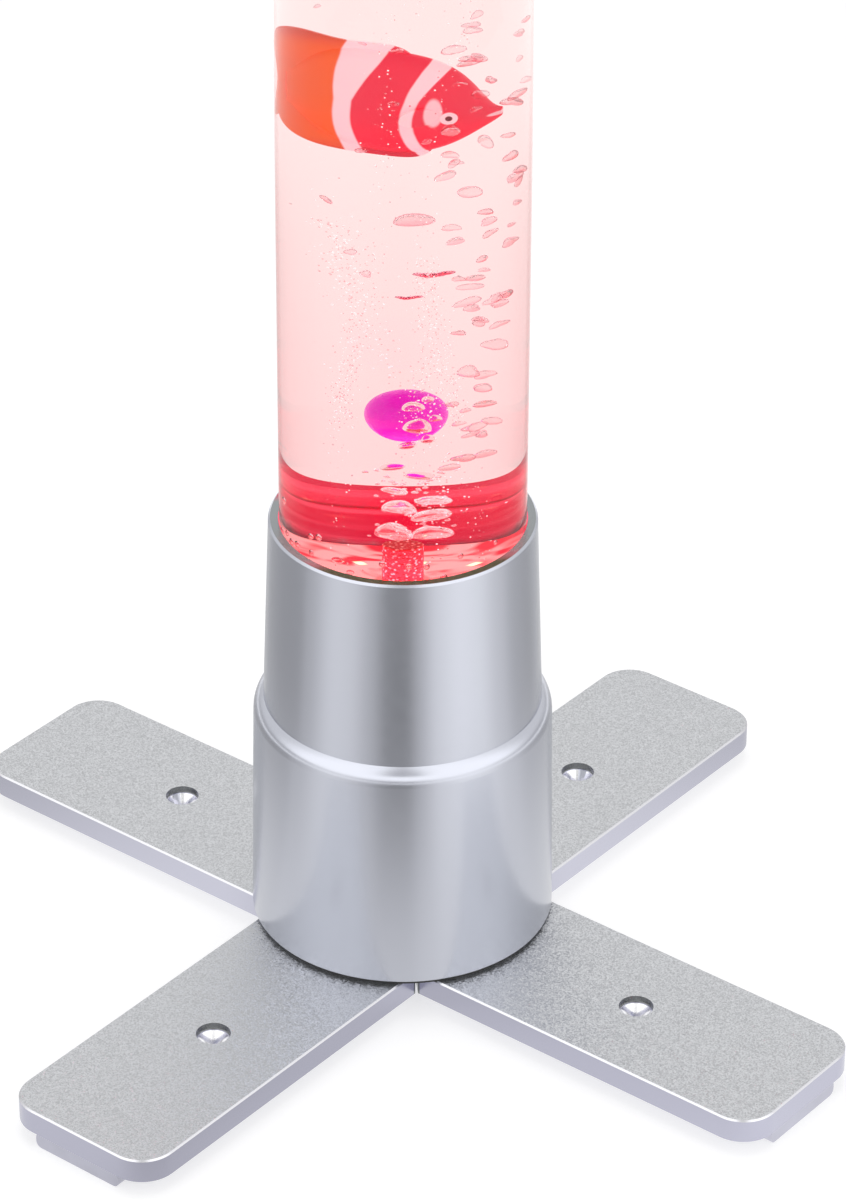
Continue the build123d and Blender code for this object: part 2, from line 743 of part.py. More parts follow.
outlet_y = pump_back_y - pump_wall - fit_gap - outlet_inset
with BuildPart() as pump_lid:
    with BuildSketch(Plane.XY.offset(pump_rim_z)):
        with Locations((0, pump_centre_y)):
            RectangleRounded(pump_length, pump_width, pump_corner_radius)
    extrude(amount=pump_wall)
    lip_length = pump_length - 2 * pump_wall - 2 * fit_gap
    lip_width = pump_width - 2 * pump_wall - 2 * fit_gap
    with BuildSketch(Plane.XY.offset(pump_rim_z)):
        with Locations((0, pump_centre_y)):
            RectangleRounded(lip_length, lip_width, pump_corner_radius - pump_wall)
            Rectangle(lip_length - 2 * pump_wall, lip_width - 2 * pump_wall, mode=Mode.SUBTRACT)
    extrude(amount=-lid_lip_depth)
    with BuildSketch(Plane.XY.offset(pump_rim_z)):
        with Locations((diaphragm_x, outlet_y)):
            Circle(hose_radius + fit_gap)
    extrude(amount=pump_wall + cut_overrun, both=True, mode=Mode.SUBTRACT)
save(pump_lid, "pump_lid")

with BuildPart() as pump_feet:
    foot_x = pump_length / 2 - pump_foot_inset
    foot_y = pump_width / 2 - pump_foot_inset
    with BuildSketch(Plane.XY.offset(plate_top_z)):
        with Locations((0, pump_centre_y)):
            with GridLocations(2 * foot_x, 2 * foot_y, 2, 2):
                Circle(pump_foot_radius)
    extrude(amount=pump_foot_height)
save(pump_feet, "pump_feet")

# Pump magnet circuit: three-limbed iron core and the coil on its middle limb
with BuildPart() as pump_core:
    window = (core_width - 3 * core_limb) / 2
    window_offset = (core_limb + window) / 2
    with BuildSketch(Plane.XY.offset(core_bottom_z)):
        with Locations((core_end_x + core_depth / 2, pump_centre_y)):
            Rectangle(core_depth, core_width)
        with Locations(
            (core_end_x + core_limb + core_depth / 2, pump_centre_y - window_offset),
            (core_end_x + core_limb + core_depth / 2, pump_centre_y + window_offset),
        ):
            Rectangle(core_depth, window, mode=Mode.SUBTRACT)
    extrude(amount=core_stack)
save(pump_core, "pump_core")

with BuildPart() as pump_coil:
    coil_start_x = core_end_x + core_limb + fit_gap
    coil_length = core_depth - core_limb - 2 * fit_gap
    coil_half_y = core_limb / 2 + coil_side
    coil_half_z = core_stack / 2 + coil_side
    with BuildSketch(
        Plane(origin=(coil_start_x, pump_centre_y, mechanism_z), x_dir=(0, 1, 0), z_dir=(1, 0, 0))
    ):
        RectangleRounded(2 * coil_half_y, 2 * coil_half_z, coil_corner)
        Rectangle(core_limb + 2 * fit_gap, core_stack + 2 * fit_gap, mode=Mode.SUBTRACT)
    extrude(amount=coil_length)
save(pump_coil, "pump_coil")

# Swing arm: a magnet at one end, a barrel in the rubber block at the other
arm_pivot_x = pump_length / 2 - pump_wall - arm_pivot_inset
magnet_start_x = core_end_x + core_depth + magnet_air_gap
arm_start_x = magnet_start_x + magnet_length
with BuildPart() as arm_magnet:
    with BuildSketch(Plane.XY.offset(mechanism_z - magnet_height / 2)):
        with Locations((magnet_start_x + magnet_length / 2, pump_centre_y)):
            Rectangle(magnet_length, magnet_width)
    extrude(amount=magnet_height)
save(arm_magnet, "arm_magnet")

with BuildPart() as swing_arm:
    with BuildSketch(Plane.XY.offset(mechanism_z - arm_height / 2)):
        with Locations(((arm_start_x + arm_pivot_x) / 2, pump_centre_y)):
            Rectangle(arm_pivot_x - arm_start_x, arm_thickness)
        with Locations((arm_pivot_x, pump_centre_y)):
            Circle(arm_barrel_radius)
    extrude(amount=arm_height)
save(swing_arm, "swing_arm")

with BuildPart() as pivot_block:
    block_end_x = pump_length / 2 - pump_wall - fit_gap
    with BuildSketch(Plane.XY.offset(mechanism_z - pivot_block_height / 2)):
        with Locations((block_end_x - pivot_block_depth / 2, pump_centre_y)):
            Rectangle(pivot_block_depth, pivot_block_width)
        with Locations((arm_pivot_x, pump_centre_y)):
            Circle(arm_barrel_radius + fit_gap, mode=Mode.SUBTRACT)
        with Locations((arm_pivot_x - pivot_block_depth / 2, pump_centre_y)):
            Rectangle(pivot_block_depth, 2 * arm_barrel_radius, mode=Mode.SUBTRACT)
    extrude(amount=pivot_block_height)
save(pivot_block, "pivot_block")

# Diaphragm: a rubber cup between the arm and the valve block
arm_face_y = pump_centre_y + arm_thickness / 2
crown_y = arm_face_y + fit_gap
diaphragm_mouth_y = crown_y + diaphragm_depth
with BuildPart() as pump_diaphragm:
    with BuildSketch(Plane(origin=(diaphragm_x, 0, mechanism_z), x_dir=(1, 0, 0), z_dir=(0, 0, 1))):
        with BuildLine():
            Polyline(
                (0, crown_y),
                (diaphragm_crown_radius, crown_y),
                (diaphragm_rim_radius - diaphragm_wall, diaphragm_mouth_y - diaphragm_rim_height),
                (diaphragm_rim_radius, diaphragm_mouth_y - diaphragm_rim_height),
                (diaphragm_rim_radius, diaphragm_mouth_y),
                (diaphragm_rim_radius - 2 * diaphragm_wall, diaphragm_mouth_y),
                (diaphragm_crown_radius - diaphragm_wall, crown_y + diaphragm_wall),
                (0, crown_y + diaphragm_wall),
                close=True,
            )
        make_face()
    revolve(axis=Axis((diaphragm_x, 0, mechanism_z), (0, 1, 0)))
save(pump_diaphragm, "pump_diaphragm")

# Valve block with its outlet pipe
outlet_top_z = mechanism_z + valve_block_height / 2 + outlet_rise
with BuildPart() as valve_block:
    block_depth = pump_back_y - pump_wall - fit_gap - diaphragm_mouth_y
    with BuildSketch(Plane.XY.offset(mechanism_z - valve_block_height / 2)):
        with Locations((diaphragm_x, diaphragm_mouth_y + block_depth / 2)):
            Rectangle(valve_block_length, block_depth)
    extrude(amount=valve_block_height)
    with BuildSketch(Plane.XY.offset(mechanism_z)):
        with Locations((diaphragm_x, outlet_y)):
            Circle(barb_radius)
    extrude(amount=outlet_top_z - mechanism_z)
    with BuildSketch(Plane.XY.offset(mechanism_z)):
        with Locations((diaphragm_x, outlet_y)):
            Circle(air_bore_radius)
    extrude(amount=outlet_top_z - mechanism_z, mode=Mode.SUBTRACT)
save(valve_block, "valve_block")

# Check valve in the air line
lower_hose_bottom_z = pump_lid_top_z
valve_pipe_bottom_z = outlet_top_z + fit_gap
valve_body_z = valve_pipe_bottom_z + barb_length
valve_body_top_z = valve_body_z + valve_length
valve_pipe_top_z = valve_body_top_z + barb_length
with BuildPart() as check_valve:
    valve_seam_z = (valve_body_z + valve_body_top_z) / 2
    with BuildSketch(upright_plane(0, reach=diaphragm_x, side=outlet_y)):
        with BuildLine():
            Polyline(
                (air_bore_radius, valve_pipe_bottom_z),
                (barb_radius, valve_pipe_bottom_z),
                (barb_radius, valve_body_z),
                (valve_waist_radius, valve_body_z),
                (valve_waist_radius, valve_seam_z - valve_seam_height / 2),
                (valve_radius, valve_seam_z - valve_seam_height / 2),
                (valve_radius, valve_seam_z + valve_seam_height / 2),
                (valve_waist_radius, valve_seam_z + valve_seam_height / 2),
                (valve_waist_radius, valve_body_top_z),
                (barb_radius, valve_body_top_z),
                (barb_radius, valve_pipe_top_z),
                (air_bore_radius, valve_pipe_top_z),
                close=True,
            )
        make_face()
    revolve(axis=Axis((diaphragm_x, outlet_y, 0), (0, 0, 1)))
save(check_valve, "check_valve")

# Air hose in two lengths: pump to check valve, check valve to air fitting
with BuildPart() as lower_air_hose:
    with BuildSketch(Plane.XY.offset(lower_hose_bottom_z)):
        with Locations((diaphragm_x, outlet_y)):
            Circle(hose_radius)
            Circle(barb_radius + press_gap, mode=Mode.SUBTRACT)
    extrude(amount=valve_body_z - lower_hose_bottom_z)
save(lower_air_hose, "lower_air_hose")


def tangent_radii(points):
    """The largest easy bend at each inner point of a route, from its two runs and its turn."""
    radii = []
    for before, corner, after in zip(points, points[1:], points[2:]):
        run_in = Vector(*corner) - Vector(*before)
        run_out = Vector(*after) - Vector(*corner)
        turn = radians(run_in.get_angle(run_out))
        radii.append(run_share_for_bends * min(run_in.length, run_out.length) / tan(turn / 2))
    return radii


hose_points = [
    (diaphragm_x, outlet_y, valve_body_top_z),
    (diaphragm_x, outlet_y, valve_body_top_z + hose_run_from_valve),
    (0, 0, fitting_end_z - hose_run_to_fitting),
    (0, 0, fitting_end_z),
]
hose_radii = tangent_radii(hose_points)
print("upper air hose bend radii", [round(radius, 1) for radius in hose_radii])
with BuildPart() as upper_air_hose:
    with BuildLine():
        FilletPolyline(*hose_points, radius=hose_radii)
    with BuildSketch(Plane.XY.offset(valve_body_top_z)):
        with Locations((diaphragm_x, outlet_y)):
            Circle(hose_radius)
            Circle(barb_radius + press_gap, mode=Mode.SUBTRACT)
    sweep()
save(upper_air_hose, "upper_air_hose")

# Control board on the back of the pump case, with what is soldered to it
board_front_y = pump_back_y + board_boss_length
board_back_y = board_front_y + board_thickness
with BuildPart() as control_board:
    with BuildSketch(Plane(origin=(0, board_front_y, board_middle_z), x_dir=(-1, 0, 0), z_dir=(0, 1, 0))):
        Rectangle(board_width, board_height)
    extrude(amount=board_thickness)
save(control_board, "control_board")

board_plane = Plane(origin=(0, board_back_y, board_middle_z), x_dir=(-1, 0, 0), z_dir=(0, 1, 0))
power_plug_height = inlet_z - board_middle_z
with BuildPart() as board_components:
    with BuildSketch(board_plane):
        with Locations((0, power_plug_height), (-led_plug_x, component_offset)):
            Rectangle(plug_box_width, plug_box_width)
    extrude(amount=plug_box_depth)
    with BuildSketch(board_plane):
        with Locations((-chip_x, component_offset)):
            Rectangle(chip_length, chip_width)
    extrude(amount=chip_height)
    with BuildSketch(board_plane):
        with Locations((-capacitor_x, -component_offset), (capacitor_x, -component_offset)):
            Circle(capacitor_radius)
    extrude(amount=capacitor_length)
save(board_components, "board_components")

# Cables inside the base: inlet to board, board to light ring
power_cable_end_y = inlet_seat_y - inlet_body_length - inlet_tail_length
power_cable_start_y = board_back_y + plug_box_depth
with BuildPart() as power_cable:
    with BuildSketch(Plane(origin=(0, power_cable_start_y, inlet_z), x_dir=(-1, 0, 0), z_dir=(0, 1, 0))):
        Circle(cable_radius)
    extrude(amount=power_cable_end_y - power_cable_start_y)
save(power_cable, "power_cable")

led_cable_y = board_back_y + plug_box_depth / 2
led_cable_z = board_middle_z + component_offset + plug_box_width / 2
led_cable_top_x = led_cable_inset - carrier_opening_radius
led_cable_points = [
    (led_plug_x, led_cable_y, led_cable_z),
    (led_plug_x, led_cable_y, led_cable_z + led_cable_first_run),
    (led_cable_top_x, led_cable_top_y, led_board_z - led_cable_last_run),
    (led_cable_top_x, led_cable_top_y, led_board_z),
]
led_cable_radii = tangent_radii(led_cable_points)
print("light cable bend radii", [round(radius, 1) for radius in led_cable_radii])
with BuildPart() as led_cable:
    with BuildLine():
        FilletPolyline(*led_cable_points, radius=led_cable_radii)
    with BuildSketch(Plane.XY.offset(led_cable_z)):
        with Locations((led_plug_x, led_cable_y)):
            Circle(cable_radius)
    sweep()
save(led_cable, "led_cable")

# Top cap: lifts off the tube, with a soft ring inside its roof
cap_bore_radius = tube_outer_radius + fit_gap
cap_outer_radius = cap_bore_radius + cap_wall
with BuildPart() as top_cap:
    with BuildSketch(Plane.XZ):
        with BuildLine():
            Polyline(
                (cap_bore_radius, cap_bottom_z),
                (cap_outer_radius, cap_bottom_z),
                (cap_outer_radius - cap_taper, lamp_height),
                (0, lamp_height),
                (0, cap_underside_z),
                (cap_bore_radius, cap_underside_z),
                close=True,
            )
        make_face()
    revolve(axis=Axis.Z)
    fillet(top_cap.faces().sort_by(Axis.Z)[-1].outer_wire().edges(), cap_top_round)
save(top_cap, "top_cap")

with BuildPart() as cap_seal:
    with BuildSketch(Plane.XY.offset(cap_underside_z)):
        Circle(cap_bore_radius - press_gap)
        Circle(tube_inner_radius, mode=Mode.SUBTRACT)
    extrude(amount=-cap_seal_height)
save(cap_seal, "cap_seal")

# Floating balls
middle_ball_rise = middle_ball_column_share * column_height
upper_ball_rise = upper_ball_column_share * column_height
for ball_name, ball_radius, ball_x, ball_y, ball_rise in (
    ("lower_ball", lower_ball_radius, lower_ball_x, lower_ball_y, lower_ball_rise),
    ("middle_ball", middle_ball_radius, middle_ball_x, middle_ball_y, middle_ball_rise),
    ("upper_ball", upper_ball_radius, upper_ball_x, upper_ball_y, upper_ball_rise),
):
    with BuildPart() as ball:
        with Locations((ball_x, ball_y, rim_z + ball_rise)):
            Sphere(ball_radius)
    save(ball, ball_name)

# Floating fish: a lofted body with back, belly, tail and side fins and two eyes
middle_fish_rise = middle_fish_column_share * column_height
upper_fish_rise = upper_fish_column_share * column_height
for fish_name, length_share, height_share, fish_rise, fish_yaw in (
    ("lower_fish", lower_fish_length_share, lower_fish_height_share, lower_fish_rise, lower_fish_yaw),
    ("middle_fish", middle_fish_length_share, middle_fish_height_share, middle_fish_rise, middle_fish_yaw),
    ("upper_fish", upper_fish_length_share, upper_fish_height_share, upper_fish_rise, upper_fish_yaw),
):
    fish_length = length_share * tube_inner_radius
    fish_height = height_share * fish_length
    fish_z = rim_z + fish_rise
    heading = radians(fish_yaw)
    forward = Vector(cos(heading), sin(heading), 0)
    sideways = Vector(-sin(heading), cos(heading), 0)
    nose = fish_nose_share * fish_length
    half_thickness = fish_thickness_share * fish_length
    with BuildPart() as fish:
        for along, middle, half_high, half_thick in fish_station_shares:
            station = forward * (nose - along * fish_length) + Vector(0, 0, fish_z + middle * fish_height)
            with BuildSketch(Plane(origin=station, x_dir=sideways, z_dir=forward)):
                Ellipse(half_thick * half_thickness, half_high * fish_height)
        loft()
        fin_plane = Plane(origin=(0, 0, fish_z), x_dir=forward, z_dir=-sideways)
        for fin_shares in (back_fin_shares, belly_fin_shares, tail_fin_shares):
            outline = [(nose - along * fish_length, up * fish_height) for along, up in fin_shares]
            with BuildSketch(fin_plane):
                with BuildLine():
                    fin_edge = Spline(*outline)
                    Line(fin_edge @ 1, fin_edge @ 0)
                make_face()
            extrude(amount=fish_fin_thickness / 2, both=True)
        with BuildSketch(fin_plane):
            with Locations((nose - eye_along_share * fish_length, eye_up_share * fish_height)):
                Circle(eye_radius_share * fish_length)
        extrude(amount=eye_reach_share * fish_length, both=True)
        for side in (1, -1):
            spread = radians(side_fin_spread)
            fin_way = sideways * side * sin(spread) - forward * cos(spread)
            fin_root = (
                forward * (nose - side_fin_along_share * fish_length)
                + sideways * side * side_fin_out_share * fish_length
                + Vector(0, 0, fish_z + side_fin_up_share * fish_height)
            )
            with BuildSketch(Plane(origin=fin_root, x_dir=fin_way, z_dir=fin_way.cross(Vector(0, 0, 1)))):
                with Locations((side_fin_length_share * fish_length / 2, 0)):
                    Ellipse(side_fin_length_share * fish_length / 2, side_fin_width_share * fish_length / 2)
            extrude(amount=side_fin_thickness / 2, both=True)
    save(fish, fish_name)
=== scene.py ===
"""Looks of the liquid motion lamp: finishes, water, bubbles, fish, studio and camera."""

from __future__ import annotations

import json
import logging
import math
from dataclasses import dataclass, field
from enum import Enum
from random import Random
from typing import Union

import bpy
from mathutils import Matrix, Vector


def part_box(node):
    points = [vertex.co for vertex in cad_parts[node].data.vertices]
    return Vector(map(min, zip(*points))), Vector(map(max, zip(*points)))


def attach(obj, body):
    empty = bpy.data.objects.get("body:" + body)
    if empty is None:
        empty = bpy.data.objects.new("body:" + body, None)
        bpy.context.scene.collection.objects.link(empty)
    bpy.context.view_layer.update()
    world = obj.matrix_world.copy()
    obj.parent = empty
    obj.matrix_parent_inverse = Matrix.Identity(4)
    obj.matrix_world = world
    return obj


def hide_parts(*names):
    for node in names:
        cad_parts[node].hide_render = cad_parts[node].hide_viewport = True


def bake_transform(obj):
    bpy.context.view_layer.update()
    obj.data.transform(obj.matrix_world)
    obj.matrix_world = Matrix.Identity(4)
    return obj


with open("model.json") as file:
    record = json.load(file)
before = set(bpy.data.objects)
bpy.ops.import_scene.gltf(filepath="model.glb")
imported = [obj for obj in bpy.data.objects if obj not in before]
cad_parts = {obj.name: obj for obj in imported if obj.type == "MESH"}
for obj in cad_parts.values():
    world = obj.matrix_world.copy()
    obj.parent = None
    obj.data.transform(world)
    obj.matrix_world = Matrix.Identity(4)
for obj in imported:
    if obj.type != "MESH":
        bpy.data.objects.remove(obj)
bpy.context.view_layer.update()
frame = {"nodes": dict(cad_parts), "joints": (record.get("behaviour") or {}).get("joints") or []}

log = logging.getLogger("lamp")

MM = 0.001
Span = tuple[float, float]
Point = tuple[float, float, float]
Colour = tuple[float, float, float]
Socket = bpy.types.NodeSocket
Value = Union[Socket, Colour, float]
Values = dict[Union[str, int], Value]
WHITE: Colour = (1.0, 1.0, 1.0)
BLACK: Colour = (0.0, 0.0, 0.0)


def linear(red: int, green: int, blue: int) -> Colour:
    """Turn a colour of 0 to 255 as seen on a screen into scene values.

    Args:
        red, green, blue: the colour's parts, 0 to 255.

    Returns:
        The same colour in the linear values that shaders use.
    """
    parts = []
    for part in (red, green, blue):
        share = part / 255
        parts.append(share / 12.92 if share <= 0.04045 else ((share + 0.055) / 1.055) ** 2.4)
    return tuple(parts)


# ---- shader trees


class Tree:
    """A short way to add and join the nodes of one shader tree."""

    def __init__(self, tree: bpy.types.NodeTree) -> None:
        """Start with the tree that the nodes go into."""
        self.tree = tree

    def node(self, kind: str, values: Values | None = None, **settings: str) -> bpy.types.Node:
        """Add a node.

        Args:
            kind: the node's type without its "ShaderNode".
            values: input values or outputs to join, by the input's name or number.
            settings: the node's own options.

        Returns:
            The new node.
        """
        made = self.tree.nodes.new("ShaderNode" + kind)
        for name, value in settings.items():
            setattr(made, name, value)
        for name, value in (values or {}).items():
            self.put(made.inputs[name], value)
        return made

    def put(self, socket: Socket, value: Value) -> None:
        """Fill an input.

        Args:
            socket: the input.
            value: a number or colour, or another node's output to join.
        """
        if isinstance(value, Socket):
            self.tree.links.new(value, socket)
        elif isinstance(value, tuple) and socket.type == "RGBA" and len(value) == 3:
            socket.default_value = (*value, 1.0)
        else:
            socket.default_value = value

    def math(self, operation: str, *values: Value) -> Socket:
        """Work out one number from others.

        Args:
            operation: the sum's name in Blender.
            values: the numbers that it takes.

        Returns:
            The result.
        """
        made = self.node("Math", operation=operation)
        for socket, value in zip(made.inputs, values):
            self.put(socket, value)
        return made.outputs[0]

    def times(self, first: Value, *others: Value) -> Socket:
        """Multiply numbers.

        Args:
            first, others: the factors.

        Returns:
            Their product.
        """
        for other in others:
            first = self.math("MULTIPLY", first, other)
        return first

    def minus(self, first: Value, second: Value) -> Socket:
        """Return the first number less the second."""
        return self.math("SUBTRACT", first, second)

    def off(self, value: Value, middle: float) -> Socket:
        """Return how far a value lies from a middle, on either side."""
        return self.math("ABSOLUTE", self.minus(value, middle))

    def blend(self, share: Value, first: Value, second: Value) -> Socket:
        """Mix two colours.

        Args:
            share: how much of the second is in the mix, 0 to 1.
            first, second: the colours.

        Returns:
            The mixed colour.
        """
        made = self.node("Mix", {"Factor": share, "A": first, "B": second}, data_type="RGBA")
        return made.outputs["Result"]

    def ramp(
        self, value: Value, low: float, high: float, start: Value = 0.0, end: Value = 1.0
    ) -> Socket:
        """Turn a value into another smoothly.

        Args:
            value: the value.
            low, high: where it starts and ends to count.
            start, end: what comes out at and beyond these two.

        Returns:
            A value between start and end.
        """
        numbers = {"Value": value, "From Min": low, "From Max": high, "To Min": start, "To Max": end}
        return self.node("MapRange", numbers, interpolation_type="SMOOTHSTEP").outputs["Result"]

    def below(self, value: Value, high: float, edge: float) -> Socket:
        """Return 1 where a value is under a height, and 0 from a narrow edge above it on."""
        return self.ramp(value, high, high + edge, 1.0, 0.0)

    def scaled(self, colour: Value, by: Value) -> Socket:
        """Return a colour made darker or brighter."""
        return self.node("VectorMath", {0: colour, "Scale": by}, operation="SCALE").outputs["Vector"]

    def place(self) -> Socket:
        """Return the place on the object, in metres."""
        return self.node("TexCoord").outputs["Object"]

    def axes(self, point: Socket) -> tuple[Socket, Socket, Socket]:
        """Return the X, Y and Z of a point."""
        return tuple(self.node("SeparateXYZ", {0: point}).outputs)

    def length(self, across: Value, along: Value) -> Socket:
        """Return how far a place lies from the upright axis, from its X and Y."""
        level = self.node("CombineXYZ", {"X": across, "Y": along, "Z": 0.0}).outputs[0]
        return self.node("VectorMath", {0: level}, operation="LENGTH").outputs["Value"]

    def effect(self, kind: Effect, values: Values) -> bpy.types.Node:
        """Place one of the shared effects.

        Args:
            kind: which effect.
            values: its inputs here.

        Returns:
            The node that holds it.
        """
        made = self.node("Group")
        made.node_tree = shared_effect(kind)
        for name, value in values.items():
            self.put(made.inputs[name], value)
        return made

    def relief(self, cell: float, strength: float, depth: float) -> tuple[Socket, Socket]:
        """Lay fine grain over a surface.

        Args:
            cell: the grain's size in millimetres.
            strength: how much of its relief counts.
            depth: how deep the relief is, in millimetres.

        Returns:
            The normal to use, and a slow mottle.
        """
        grain = self.effect(Effect.GRAIN, {"Cell": cell})
        bump = {"Height": grain.outputs["Height"], "Strength": strength, "Distance": depth * MM}
        return self.node("Bump", bump).outputs["Normal"], grain.outputs["Mottle"]

    def mottled(self, mottle: Socket, low: float, high: float) -> Socket:
        """Return a value between low and high that follows the slow mottle."""
        return self.ramp(mottle, 0.3, 0.7, low, high)

    def principled(self, values: Values) -> Socket:
        """Add the Principled shader and return its surface."""
        return self.node("BsdfPrincipled", values).outputs[0]


class Effect(Enum):
    """The effects that several finishes share."""

    GRAIN = "fine grain"
    FLAKES = "metal flakes"
    BANDS = "fish bands"
    TENT = "light tent"


def shared_effect(kind: Effect) -> bpy.types.NodeTree:
    """Build a shared effect once.

    Args:
        kind: which effect.

    Returns:
        Its node group.
    """
    ready = bpy.data.node_groups.get(kind.value)
    if ready:
        return ready
    group = bpy.data.node_groups.new(kind.value, "ShaderNodeTree")
    makers = {
        Effect.GRAIN: grain_effect,
        Effect.FLAKES: flake_effect,
        Effect.BANDS: band_effect,
        Effect.TENT: tent_effect,
    }
    makers[kind](group)
    return group


def group_ends(
    group: bpy.types.NodeTree, inputs: dict[str, float], outputs: dict[str, str]
) -> tuple[dict[str, Socket], dict[str, Socket]]:
    """Give a group its named inputs and outputs.

    Args:
        group: the node group.
        inputs: each number that goes in, with its usual value.
        outputs: each output, with the end of its socket type's name.

    Returns:
        What comes in and what goes out, by name.
    """
    for name, usual in inputs.items():
        socket = group.interface.new_socket(name, in_out="INPUT", socket_type="NodeSocketFloat")
        socket.default_value = usual
    for name, kind in outputs.items():
        group.interface.new_socket(name, in_out="OUTPUT", socket_type="NodeSocket" + kind)
    entry, leave = group.nodes.new("NodeGroupInput"), group.nodes.new("NodeGroupOutput")
    return {n: entry.outputs[n] for n in inputs}, {n: leave.inputs[n] for n in outputs}


def grain_effect(group: bpy.types.NodeTree) -> None:
    """Make fine relief of a given cell in millimetres, and a slow mottle.

    Args:
        group: the node group to fill.
    """
    tree = Tree(group)
    entry, leave = group_ends(group, {"Cell": 0.5}, {"Height": "Float", "Mottle": "Float"})
    place = tree.place()
    scale = tree.math("DIVIDE", 1 / MM, entry["Cell"])
    slow_share = 0.03
    fine = tree.node("TexNoise", {"Vector": place, "Scale": scale, "Detail": 3.0, "Roughness": 0.6})
    slow = tree.node("TexNoise", {"Vector": place, "Scale": tree.times(scale, slow_share), "Detail": 4.0})
    tree.put(leave["Height"], fine.outputs["Fac"])
    tree.put(leave["Mottle"], slow.outputs["Fac"])


def flake_effect(group: bpy.types.NodeTree) -> None:
    """Make flakes in a paint: each tilts the surface its own way and has its own brightness.

    Args:
        group: the node group to fill.
    """
    tree = Tree(group)
    entry, leave = group_ends(group, {"Cell": 0.4, "Tilt": 0.3}, {"Normal": "Vector", "Bright": "Float"})
    scale = tree.math("DIVIDE", 1 / MM, entry["Cell"])
    cells = tree.node("TexVoronoi", {"Vector": tree.place(), "Scale": scale}, feature="F1").outputs["Color"]
    centred = tree.node("VectorMath", {0: cells, 1: (0.5, 0.5, 0.5)}, operation="SUBTRACT")
    tilted = tree.scaled(centred.outputs["Vector"], entry["Tilt"])
    facing = tree.node("NewGeometry").outputs["Normal"]
    summed = tree.node("VectorMath", {0: facing, 1: tilted}, operation="ADD")
    unit = tree.node("VectorMath", {0: summed.outputs["Vector"]}, operation="NORMALIZE")
    tree.put(leave["Normal"], unit.outputs["Vector"])
    tree.put(leave["Bright"], tree.node("SeparateColor", {"Color": cells}).outputs["Red"])


def band_effect(group: bpy.types.NodeTree) -> None:
    """Make a curved band over a fish, from its length and height in shares of its size.

    Args:
        group: the node group to fill.
    """
    tree = Tree(group)
    inputs = {"Along": 0.0, "Up": 0.0, "Place": 0.4, "Width": 0.05, "Bow": 0.1, "Crest": 0.0, "Flare": 0.0}
    entry, leave = group_ends(group, inputs, {"Mask": "Float", "Behind": "Float"})
    rise = tree.minus(entry["Up"], entry["Crest"])
    bow = tree.times(rise, rise, entry["Bow"])
    off = tree.math("ADD", tree.minus(entry["Along"], entry["Place"]), bow)
    above = tree.math("MAXIMUM", entry["Up"], 0.0)
    wide = tree.math("MULTIPLY_ADD", above, entry["Flare"], entry["Width"])
    near = tree.minus(wide, tree.math("ABSOLUTE", off))
    edge, turn = 0.006, 0.01
    tree.put(leave["Mask"], tree.ramp(near, -edge, edge))
    tree.put(leave["Behind"], tree.ramp(off, -turn, turn))


def tent_effect(group: bpy.types.NodeTree) -> None:
    """Make how bright the studio is in each direction: soft boxes, gaps and a dark front.

    Args:
        group: the node group to fill.
    """
    tree = Tree(group)
    entry, leave = group_ends(group, {"East": 0.0, "North": 1.0}, {"Level": "Float"})
    heading = tree.math("ARCTAN2", entry["North"], entry["East"])
    share = tree.math("MULTIPLY_ADD", heading, 0.5 / math.pi, 0.5)
    ramp = tree.node("ValToRGB", {"Fac": share})
    ramp.color_ramp.interpolation = "EASE"
    front = -96.3
    stops = (
        (-178, 1.00), (-158, 0.74), (-132, 0.52), (-106, 0.46), (-78, 0.64), (-54, 1.02), (-40, 0.98),
        (-25, 0.70), (-11, 0.34), (3, 0.30), (13, 0.68), (26, 1.08), (45, 1.26), (60, 1.18), (80, 0.88),
        (100, 0.60), (120, 0.52), (142, 0.66), (166, 1.00),
    )
    placed = sorted((((front + turn + 180) % 360) / 360, level) for turn, level in stops)
    for step, (spot, level) in enumerate(placed):
        stop = ramp.color_ramp.elements[step] if step < 2 else ramp.color_ramp.elements.new(spot)
        stop.position = spot
        stop.color = (level, level, level, 1.0)
    tree.put(leave["Level"], ramp.outputs["Color"])


# ---- finishes


@dataclass(frozen=True)
class Finish:
    """A finish of one kind of surface. Each kind fills in dress()."""

    name: str

    def material(self) -> bpy.types.Material:
        """Make the finish's material once.

        Returns:
            The material.
        """
        ready = bpy.data.materials.get(self.name)
        if ready:
            return ready
        made = bpy.data.materials.new(self.name)
        made.use_nodes = True
        made.node_tree.nodes.clear()
        tree = Tree(made.node_tree)
        tree.node("OutputMaterial", {"Surface": self.dress(tree)})
        return made

    def dress(self, tree: Tree) -> Socket:
        """Add the finish's nodes.

        Args:
            tree: the material's tree.

        Returns:
            The surface.
        """
        raise NotImplementedError

    def light_through(self, tree: Tree, surface: Socket) -> Socket:
        """Let lamps shine through a clear surface.

        Args:
            tree: the material's tree.
            surface: the shader that everything but a lamp's ray meets.

        Returns:
            The joined surface.
        """
        shadow = tree.node("LightPath").outputs["Is Shadow Ray"]
        clear = tree.node("BsdfTransparent").outputs[0]
        return tree.node("MixShader", {0: shadow, 1: surface, 2: clear}).outputs[0]


